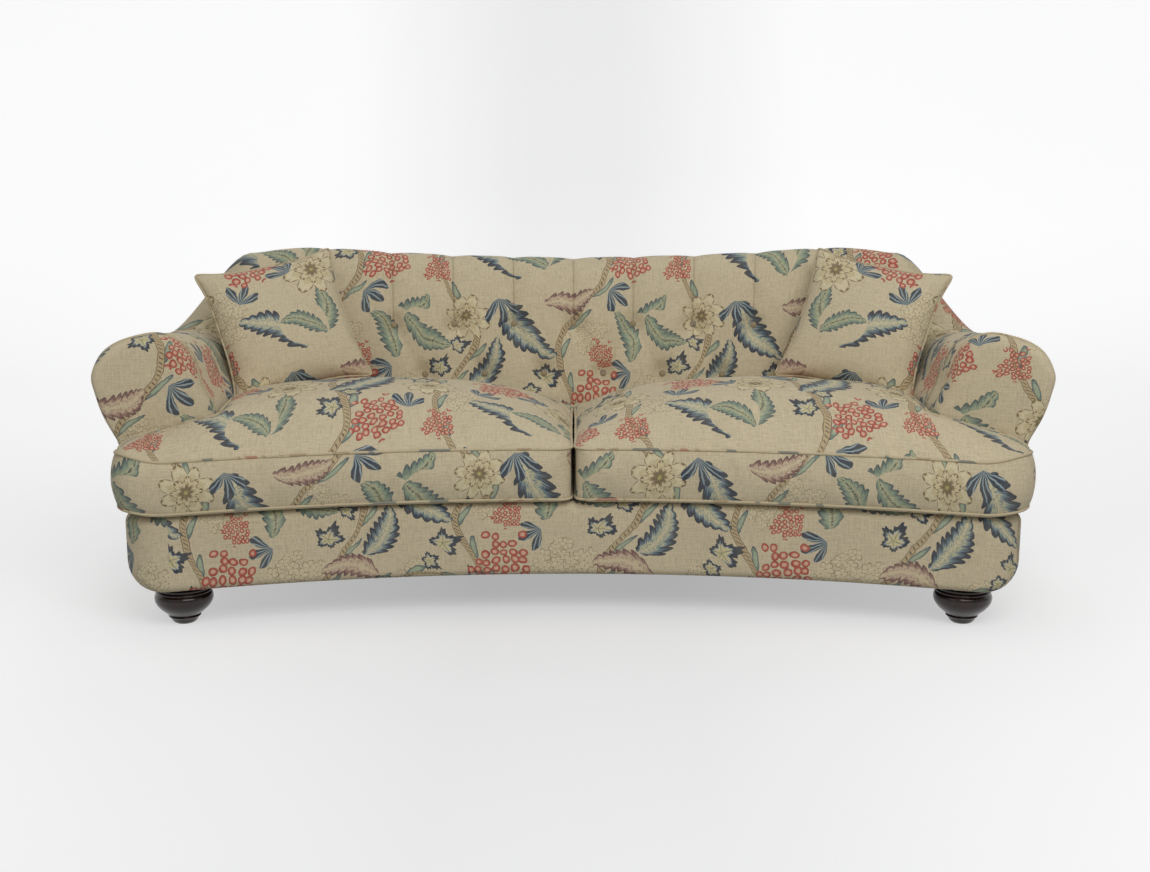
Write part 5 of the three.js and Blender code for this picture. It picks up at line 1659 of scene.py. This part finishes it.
def add_buttons(settings):
    """Covered buttons where the pleats meet."""
    places, facings = [], []
    for x, z in button_places():
        station = back_stations([x])
        offset, heights = pad_section(station, settings.pleat_depth, settings.button_depth)
        skin = slice(0, PLEAT_FRONT_POINTS * SKIN_STEPS)
        depth = np.interp(z, heights[0, skin], offset[0, skin]) - BUTTON_RISE
        places.append(beside(station, np.array([[depth]]), np.array([[z]]))[0, 0].tolist())
        facings.append((-station[0, 2], -station[0, 3], BUTTON_LIFT_SHARE))
    mesh = bpy.data.meshes.new("back_buttons")
    mesh.from_pydata(places, [], [])
    facing = mesh.attributes.new("facing", "FLOAT_VECTOR", "POINT")
    facing.data.foreach_set("vector", np.array(facings, np.float32).ravel())
    cover = button_material()
    piece = run_tree(place_object("back_buttons", mesh), tree_named(button_tree, "covered_buttons"), {
        "Button Radius": settings.button_radius, "Cover": cover,
    })
    finish_piece(piece, "sofa", cover)


ARM_STEPS = 21
ARM_RUN_POINT = 8


class SOFA_OT_arms(bpy.types.Operator):
    """Make the arm pads, the padded arm facings and their piping"""

    bl_idname = "sofa.arms"
    bl_label = "Arms"

    def execute(self, context):
        gap = CLEAR / (CORNER_Y - float(arc_y(WRAP_HALF_WIDTH, ARM_FRONT_SETBACK)))
        for word, side in SIDES:
            stations = arm_stations(side, np.linspace(SPLIT_SHARE + gap, 1, ARM_STEPS + 1))
            offset, z = pad_section(stations)
            offset = offset + soft_waves(offset.shape, ARM_WAVE_HEIGHT, ARM_WAVE_SEED)
            points = beside(stations, offset, z)
            uv = ring_uv(points, side * -run_along(points, ARM_RUN_POINT * SKIN_STEPS))
            pad = loft_piece(f"arm_cover_{word}", points, uv, ring_across=True, caps=True)
            mark_hard_edges(pad)
            cover = print_material(f"arm_linen_print_{word}")
            finish_piece(pad, "sofa", cover, [f"arm_pad_{word}"])
            make_facing(word, side, context.scene.sofa.piping_radius)
        return {"FINISHED"}


FACING_CENTRE = (-0.01, 0.5)
FACING_SHARES = np.array([[1, 0], [1, 0.45], [0.965, 0.72], [0.88, 0.9], [0.62, 0.98], [0, 1]])
FACING_STEPS = 5
FACING_COVER_STEPS = 12
PIPING_PROUD_SHARE = 0.35


def cover_line(stations, steps):
    """Outside cover from the base border up to the end of the roll: offsets and heights."""
    offset, z = pad_section(stations)
    end_offset, end_z = offset[:, [SKIN_COUNT - 1]], z[:, [SKIN_COUNT - 1]]
    share = np.linspace(0, 1, steps)[None]
    foot = border_reach(stations[:, [4]])
    outer = mix(foot, end_offset, share ** COVER_FLARE_SHARE_POWER)
    return outer, mix(PAD_BOTTOM, end_z - ROLL_GAP, share)


def border_reach(turn):
    """How far the base border stands out from the stations of the back and its corners."""
    return mix(BORDER_REAR_OFFSET, HALF_BASE - WRAP_HALF_WIDTH, smooth(turn, 0, 1))


def facing_outline():
    """Outline of an arm front: the pad's skin, then down the outside cover."""
    front = arm_stations(1, [1.0])
    offset, z = pad_section(front)
    skin = np.column_stack([offset[0, :SKIN_COUNT], z[0, :SKIN_COUNT]])
    cover_offset, cover_z = cover_line(front, FACING_COVER_STEPS)
    cover = np.column_stack([cover_offset[0], cover_z[0]])[:-1][::-1]
    return np.vstack([skin, cover])


def on_arm_front(local, side, setback):
    """Places of an arm front's outline at a setback, kept above the base border."""
    x = side * (WRAP_HALF_WIDTH + local[:, 0])
    return np.column_stack([x, arc_y(x, setback) + FRAME_SHIFT, np.maximum(local[:, 1], PAD_BOTTOM)])


def make_facing(word, side, piping_radius):
    """Padded front of an arm, with piping round its edge."""
    outline = facing_outline()
    shares = spline(FACING_SHARES, FACING_STEPS)[:-1]
    points = np.array([
        on_arm_front(
            mix(np.array(FACING_CENTRE), outline, scale), side,
            mix(ARM_FRONT_SETBACK - CLEAR, FACING_SETBACK, min(forward, 1)),
        ) for scale, forward in shares
    ])
    away = outline - outline.mean(0)
    away = away / np.linalg.norm(away, axis=1)[:, None]
    depth = (1 - shares[:, 1].clip(0, 1)) * (ARM_FRONT_SETBACK - FACING_SETBACK)
    flat = points[..., ::2] + away * (side, 1) * depth[:, None, None]
    closed = np.concatenate([flat, flat[:, :1]], axis=1)
    piece = loft_piece(f"arm_facing_cover_{word}", points, closed, ring_across=True, caps=True)
    cover = print_material(f"facing_linen_print_{word}")
    finish_piece(piece, "sofa", cover, [f"arm_facing_{word}"])
    line = on_arm_front(outline + away * piping_radius * PIPING_PROUD_SHARE, side, ARM_FRONT_SETBACK)
    piping = add_piping(f"arm_piping_{word}", [(line, False)], piping_radius, piping_material())
    finish_piece(piping, "sofa", piping_material())


# Outside covers
COVER_ROWS = 24
COVER_RUN_POINT = 10
COVER_BACK_STATIONS = 90
COVER_TURN_STEPS = 8
COVER_ARM_STEPS = 15
COVER_SPLIT_TURN_SHARE = 0.5


class SOFA_OT_outside(bpy.types.Operator):
    """Make the outside covers and the base border"""

    bl_idname = "sofa.outside"
    bl_label = "Outside and Base"

    def execute(self, context):
        turns = steps_after(0, COVER_SPLIT_TURN_SHARE, COVER_TURN_STEPS)
        rear = np.vstack([
            corner_stations(-1, turns[::-1]),
            back_stations(np.linspace(-BACK_END_X, BACK_END_X, COVER_BACK_STATIONS)),
            corner_stations(1, turns),
        ])
        self.cover("outside_back", "outside_back_cover", rear)
        gap = CLEAR / (WRAP_CORNER_RADIUS * CORNER_TURN)
        for word, side in SIDES:
            stations = np.vstack([
                corner_stations(side, np.linspace(COVER_SPLIT_TURN_SHARE + gap, 1, COVER_TURN_STEPS + 1)),
                arm_stations(side, steps_after(0, 1, COVER_ARM_STEPS)),
            ])
            self.cover(f"outside_arm_{word}", f"outside_arm_cover_{word}", stations)
        make_border()
        return {"FINISHED"}

    def cover(self, node, name, stations):
        """One plain panel with its thickness, from the base border to the roll."""
        offset, z = cover_line(stations, COVER_ROWS)
        offset = np.hstack([offset, offset[:, ::-1] - COVER_THICKNESS])
        points = beside(stations, offset, np.hstack([z, z[:, ::-1]]))
        uv = ring_uv(points, run_along(points, COVER_RUN_POINT))
        piece = loft_piece(name, points, uv, ring_across=True, caps=True)
        mark_hard_edges(piece)
        cover = print_material(f"{node}_linen_print")
        finish_piece(piece, "sofa", cover, [node])


# Stations along each part of the base border, and points across its section
BORDER_STATIONS = {"front": 121, "front_corner": 14, "side": 31, "rear_corner": 20, "back": 108}
BORDER_ROUND_POINTS = 9
BORDER_LINING_POINTS = 6
BORDER_WALL_POINTS = 6
BORDER_RUN_POINT = 12


def border_stations():
    """Closed run round the base: [x, y, outward x, outward y, ends]."""
    front_x = HALF_BASE - BASE_CORNER_RADIUS
    front_y = float(arc_y(front_x, BASE_CORNER_RADIUS))
    front_end = front_x * CURVE_RADIUS / (CURVE_RADIUS + BASE_CORNER_RADIUS)
    x = np.linspace(-front_end, front_end, BORDER_STATIONS["front"])
    y = arc_y(x, 0)
    front = np.column_stack([x, y, -x / CURVE_RADIUS, -(y + CURVE_RADIUS) / CURVE_RADIUS, 0 * x])
    start = math.atan2(-(front_y + CURVE_RADIUS), -front_x) + 2 * math.pi
    share = steps_after(0, 1, BORDER_STATIONS["front_corner"])
    angle = mix(start, 2 * math.pi, share)
    out = np.column_stack([np.cos(angle), np.sin(angle)])
    place = np.array([front_x, front_y]) + BASE_CORNER_RADIUS * out
    corner = np.column_stack([place, out, smooth(share, 0, 1)])
    rise = steps_after(front_y, CORNER_Y, BORDER_STATIONS["side"])
    one = np.ones_like(rise)
    wall = np.column_stack([HALF_BASE * one, rise, one, 0 * one, one])
    turn = steps_after(1, 0, BORDER_STATIONS["rear_corner"])
    rear_corner = moved_out(corner_stations(1, turn), border_reach(turn)[:, None], smooth(turn, 0, 1))
    right = np.vstack([corner, wall, rear_corner])
    back = back_stations(np.linspace(BACK_END_X, -BACK_END_X, BORDER_STATIONS["back"] + 2)[1:-1])
    rear = moved_out(back, BORDER_REAR_OFFSET, 0 * back[:, 0])
    left = right[::-1] * (-1, 1, -1, 1, 1)
    return np.vstack([front, right, rear, left])


def moved_out(stations, reach, ends):
    place, outward = stations[:, :2], stations[:, 2:4]
    return np.column_stack([place + outward * reach, outward, ends])


def rounding(radius, inset, count):
    """A quarter round, set in by a thickness: depths and drops."""
    angle = np.linspace(0, math.pi / 2, count)
    return radius - (radius - inset) * np.cos(angle), radius - (radius - inset) * np.sin(angle)


def border_section(bottom_round):
    """Section of the base border: [depth, z], outer face first."""
    depth, drop = rounding(bottom_round, 0, BORDER_ROUND_POINTS)
    outer_low = np.column_stack([depth, BASE_BOTTOM + drop])[::-1]
    depth, drop = rounding(BORDER_TOP_ROUND, 0, BORDER_ROUND_POINTS)
    outer_high = np.column_stack([depth, SEAT_TOP - drop])
    level = np.linspace(outer_low[-1, 1], outer_high[0, 1], BORDER_WALL_POINTS + 2)[1:-1]
    wall = np.column_stack([0 * level, level])
    inset = BORDER_THICKNESS
    lip = np.array([
        [BORDER_LIP, SEAT_TOP], [BORDER_LIP, SEAT_TOP - inset],
        [BORDER_TOP_ROUND, SEAT_TOP - inset], [inset, SEAT_TOP - BORDER_TOP_ROUND],
    ])
    depth, drop = rounding(bottom_round, inset, BORDER_LINING_POINTS)
    return np.vstack([outer_low, wall, outer_high, lip, np.column_stack([depth, BASE_BOTTOM + drop])])


def make_border():
    """Padded band all round the base."""
    rows = []
    for x, y, out_x, out_y, ends in border_stations():
        depth, z = border_section(mix(BORDER_FRONT_BOTTOM_ROUND, BORDER_SIDE_BOTTOM_ROUND, ends)).T
        rows.append(np.column_stack([x - out_x * depth, y - out_y * depth + FRAME_SHIFT, z]))
    points = np.array(rows)
    closed = np.concatenate([points, points[:1]], axis=0)
    uv = ring_uv(closed, lengths_along(closed[:, [BORDER_RUN_POINT]], 0)[:, 0])
    piece = loft_piece("base_border_cover", points, uv, ring_across=True, ring_along=True)
    mark_hard_edges(piece)
    cover = print_material("border_linen_print")
    finish_piece(piece, "sofa", cover, ["base_border"])


SEAT_SEED = 20
SCATTER_SEED = 40
SCATTER_PIPING_SHARE = 0.85
SCATTER_PIPING_STEP = 0.008


class SOFA_OT_seat_cushions(bpy.types.Operator):
    """Make the two seat cushions with their welts"""

    bl_idname = "sofa.seat_cushions"
    bl_label = "Seat Cushions"

    def execute(self, context):
        settings = context.scene.sofa
        fill = settings.cushion_fill
        for word, side in SIDES:
            body = f"seat_cushion_{word}_body"
            piece, welts = make_seat_cushion(word, side, fill, SEAT_SEED + side)
            cover = print_material(f"seat_linen_print_{word}")
            finish_piece(piece, body, cover, [f"seat_cushion_{word}"])
            piping = add_piping(f"seat_piping_{word}", welts, settings.piping_radius, piping_material())
            finish_piece(piping, body, piping_material())
        return {"FINISHED"}


class SOFA_OT_scatter_cushions(bpy.types.Operator):
    """Make the two scatter cushions with their piped edges"""

    bl_idname = "sofa.scatter_cushions"
    bl_label = "Scatter Cushions"

    def execute(self, context):
        radius = context.scene.sofa.piping_radius * SCATTER_PIPING_SHARE
        cover = print_material("scatter_linen_print")
        for word, side in SIDES:
            body = f"scatter_cushion_{word}_body"
            piece, edge = make_scatter_cushion(word, side, SCATTER_SEED + side)
            nodes = [f"scatter_cushion_{word}"]
            finish_piece(piece, body, cover, nodes)
            piping = add_piping(
                f"scatter_piping_{word}", edge, radius, piping_material(), SCATTER_PIPING_STEP,
            )
            finish_piece(piping, body, piping_material())
        return {"FINISHED"}


FOOT_SIDES = 72
FOOT_STEPS = 5
FOOT_PRINT_STEP = 0.004
FOOT_HARD_EDGE_DEGREES = 40


class SOFA_OT_feet(bpy.types.Operator):
    """Turn the four bun feet"""

    bl_idname = "sofa.feet"
    bl_label = "Feet"

    def execute(self, context):
        wood = material("stained_wood", lacquered_wood)
        profile = self.fine_profile()
        angle = np.linspace(0, 2 * math.pi, FOOT_SIDES + 1)[:-1]
        radius, height = profile[:, :1], np.repeat(profile[:, 1:], FOOT_SIDES, axis=1)
        for name in FOOT_NAMES:
            low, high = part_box(f"foot_{name}")
            centre = (low + high) / 2
            points = np.stack([
                centre.x + radius * np.cos(angle), centre.y + radius * np.sin(angle), height,
            ], axis=2)
            uv = ring_uv(points, np.arange(len(profile)) * FOOT_PRINT_STEP)
            foot = loft_piece(f"turned_foot_{name}", points, uv, ring_across=True, caps=True)
            mark_hard_edges(foot, FOOT_HARD_EDGE_DEGREES)
            finish_piece(foot, "sofa", wood, [f"foot_{name}"])
        return {"FINISHED"}

    def fine_profile(self):
        """Smooth turnings that meet in sharp grooves, then the collar and the bore."""
        turnings = [spline(part, FOOT_STEPS)[:-1] for part in FOOT_TURNINGS]
        return np.vstack([*turnings, FOOT_TURNINGS[-1][-1:], FOOT_COLLAR])


class SOFA_OT_frame_finishes(bpy.types.Operator):
    """Give the hidden frame, springs, webbing and dust cover their finishes"""

    bl_idname = "sofa.frame_finishes"
    bl_label = "Frame Finishes"

    def execute(self, context):
        slots = {row["node"]: row["material_slot"] for row in frame["record"]["subparts"]}
        makers = {
            "hardwood": sawn_wood, "steel": oiled_steel, "webbing": jute_webbing, "lining": dust_cloth,
            "stained_wood": lacquered_wood,
        }
        for name, node in frame["nodes"].items():
            slot = slots[name]
            if slot in makers:
                node.data.materials.clear()
                node.data.materials.append(material(slot, makers[slot]))
        return {"FINISHED"}


# Lamps: [name, place, width, depth, power in watts]
LAMPS = (
    ("key", (1.1, -3.4, 3.4), 3.2, 2.2, 87),
    ("overhead", (0.0, 0.6, 3.8), 3.6, 2.6, 10),
    ("fill", (-2.6, -2.8, 2.4), 2.4, 1.8, 6),
    ("rear", (-0.6, 3.2, 3.0), 3.0, 2.0, 24),
)
LAMP_AIM = (0, 0, 0.4)
WORLD_COLOUR = (0.97, 0.98, 1.0, 1)
WORLD_STRENGTH = 0.44
SURROUND_COLOUR = (0.8, 0.8, 0.8, 1)

# Paper backdrop: floor, bend and wall
PAPER_HALF_WIDTH = 40
PAPER_FRONT = -40
PAPER_BEND_START = 3.2
PAPER_BEND_RADIUS = 2.5
PAPER_BEND_POINTS = 25
PAPER_TOP = 20

# Painted light on the paper for the camera, an even glow that grows brighter towards the sides and the rear:
# [where it starts, over what length, gain per metre]
GLOW = 0.41
SIDE_GLOW = (0.25, 1.1, 0.13)
REAR_GLOW = (0.6, 4.2, 0.044)


class SOFA_OT_studio(bpy.types.Operator):
    """Set up floor, backdrop, lights and the photograph's camera"""

    bl_idname = "sofa.studio"
    bl_label = "Studio"

    def execute(self, context):
        scene = context.scene
        self.backdrop(scene.sofa.backdrop_colour)
        for lamp in LAMPS:
            self.lamp(*lamp)
        scene.world = bpy.data.worlds.new("studio_world")
        scene.world.use_nodes = True
        self.surround(scene.world.node_tree)
        camera = place_object("camera", bpy.data.cameras.new("camera"))
        camera.data.sensor_fit = "HORIZONTAL"
        camera.data.sensor_width = SENSOR_WIDTH
        camera.data.lens = SENSOR_WIDTH * FOCAL_PIXELS / PHOTO_SIZE[0]
        camera.location = CAMERA_PLACE
        camera.rotation_euler = (math.radians(90 - CAMERA_PITCH_DEGREES), 0, 0)
        scene.camera = camera
        scene.view_settings.view_transform = "Standard"
        return {"FINISHED"}

    def surround(self, tree):
        """Soft light from all round; the camera sees the paper's own grey past the paper's end."""
        nodes = ShaderNodes(tree)
        tree.nodes["Background"].inputs["Color"].default_value = WORLD_COLOUR
        tree.nodes["Background"].inputs["Strength"].default_value = WORLD_STRENGTH
        seen = nodes.add("ShaderNodeLightPath").outputs["Is Camera Ray"]
        pale = nodes.add("ShaderNodeBackground", sockets={"Color": SURROUND_COLOUR})
        shown = nodes.add("ShaderNodeMixShader", sockets={
            0: seen, 1: tree.nodes["Background"].outputs[0], 2: pale.outputs[0],
        })
        tree.links.new(shown.outputs[0], tree.nodes["World Output"].inputs["Surface"])

    def backdrop(self, colour):
        """Floor that curves up into a wall; for the camera it glows with painted light, brighter towards the
        sides and the rear, so that it stays seamless.
        """
        bend = np.linspace(0, math.pi / 2, PAPER_BEND_POINTS)
        curve = PAPER_BEND_RADIUS * np.column_stack([np.sin(bend), 1 - np.cos(bend)]) + (PAPER_BEND_START, 0)
        wall = PAPER_BEND_START + PAPER_BEND_RADIUS
        profile = np.vstack([[[PAPER_FRONT, 0]], curve, [[wall, PAPER_TOP]]])
        vertices = [(x, y, z) for y, z in profile for x in (-PAPER_HALF_WIDTH, PAPER_HALF_WIDTH)]
        faces = [(2 * i, 2 * i + 1, 2 * i + 3, 2 * i + 2) for i in range(len(profile) - 1)]
        floor = new_piece("studio_floor", vertices, faces)
        nodes = MaterialNodes("studio_paper")
        x, y = nodes.split(nodes.object_place())
        # Painted light: the paper's glow for the camera, brighter towards the sides and the rear.
        brightness = self.gain(abs(x), *SIDE_GLOW) + self.gain(y, *REAR_GLOW) + GLOW
        grey = nodes.add("ShaderNodeCombineColor", sockets=dict.fromkeys(range(3), brightness))
        glow = nodes.add("ShaderNodeEmission", sockets={"Color": grey.outputs[0]})
        paper = nodes.add("ShaderNodeBsdfDiffuse", sockets={"Color": (*colour, 1)})
        lit = nodes.add("ShaderNodeAddShader", sockets={0: paper.outputs[0], 1: glow.outputs[0]})
        path = nodes.add("ShaderNodeLightPath").outputs
        seen = nodes.number(path["Is Camera Ray"]).most(nodes.number(path["Is Glossy Ray"]))
        shown = nodes.add("ShaderNodeMixShader", sockets={0: seen, 1: paper.outputs[0], 2: lit.outputs[0]})
        nodes.add("ShaderNodeOutputMaterial", sockets={"Surface": shown.outputs[0]})
        floor.data.materials.append(nodes.material)

    def gain(self, distance, start, length, per_metre):
        return (distance - start).most(0).least(length) * per_metre

    def lamp(self, name, place, width, depth, power):
        """A rectangular lamp that points at the sofa."""
        lamp = place_object(name, bpy.data.lights.new(name, "AREA"))
        lamp.data.shape = "RECTANGLE"
        lamp.data.size, lamp.data.size_y = width, depth
        lamp.data.energy = power
        lamp.location = place
        lamp.rotation_euler = (Vector(LAMP_AIM) - Vector(place)).to_track_quat("-Z", "Y").to_euler()


OPERATORS = (
    SOFA_OT_studio, SOFA_OT_inside_back, SOFA_OT_arms, SOFA_OT_outside, SOFA_OT_seat_cushions,
    SOFA_OT_scatter_cushions, SOFA_OT_feet, SOFA_OT_frame_finishes,
)


class SOFA_PT_panel(bpy.types.Panel):
    """Lists the sofa's sizes and steps"""

    bl_idname = "SOFA_PT_panel"
    bl_label = "Cabriole Sofa"
    bl_space_type = "VIEW_3D"
    bl_region_type = "UI"
    bl_category = "Sofa"

    def draw(self, context):
        for name in SofaSettings.__annotations__:
            self.layout.prop(context.scene.sofa, name)
        for operator in OPERATORS:
            self.layout.operator(operator.bl_idname)


CLASSES = (SofaSettings, *OPERATORS, SOFA_PT_panel)


def register():
    for item in CLASSES:
        bpy.utils.register_class(item)
    bpy.types.Scene.sofa = bpy.props.PointerProperty(type=SofaSettings)


def unregister():
    del bpy.types.Scene.sofa
    for item in reversed(CLASSES):
        bpy.utils.unregister_class(item)


def main():
    register()
    for operator in OPERATORS:
        group, name = operator.bl_idname.split(".")
        getattr(getattr(bpy.ops, group), name)()


if __name__ == "__main__":
    main()
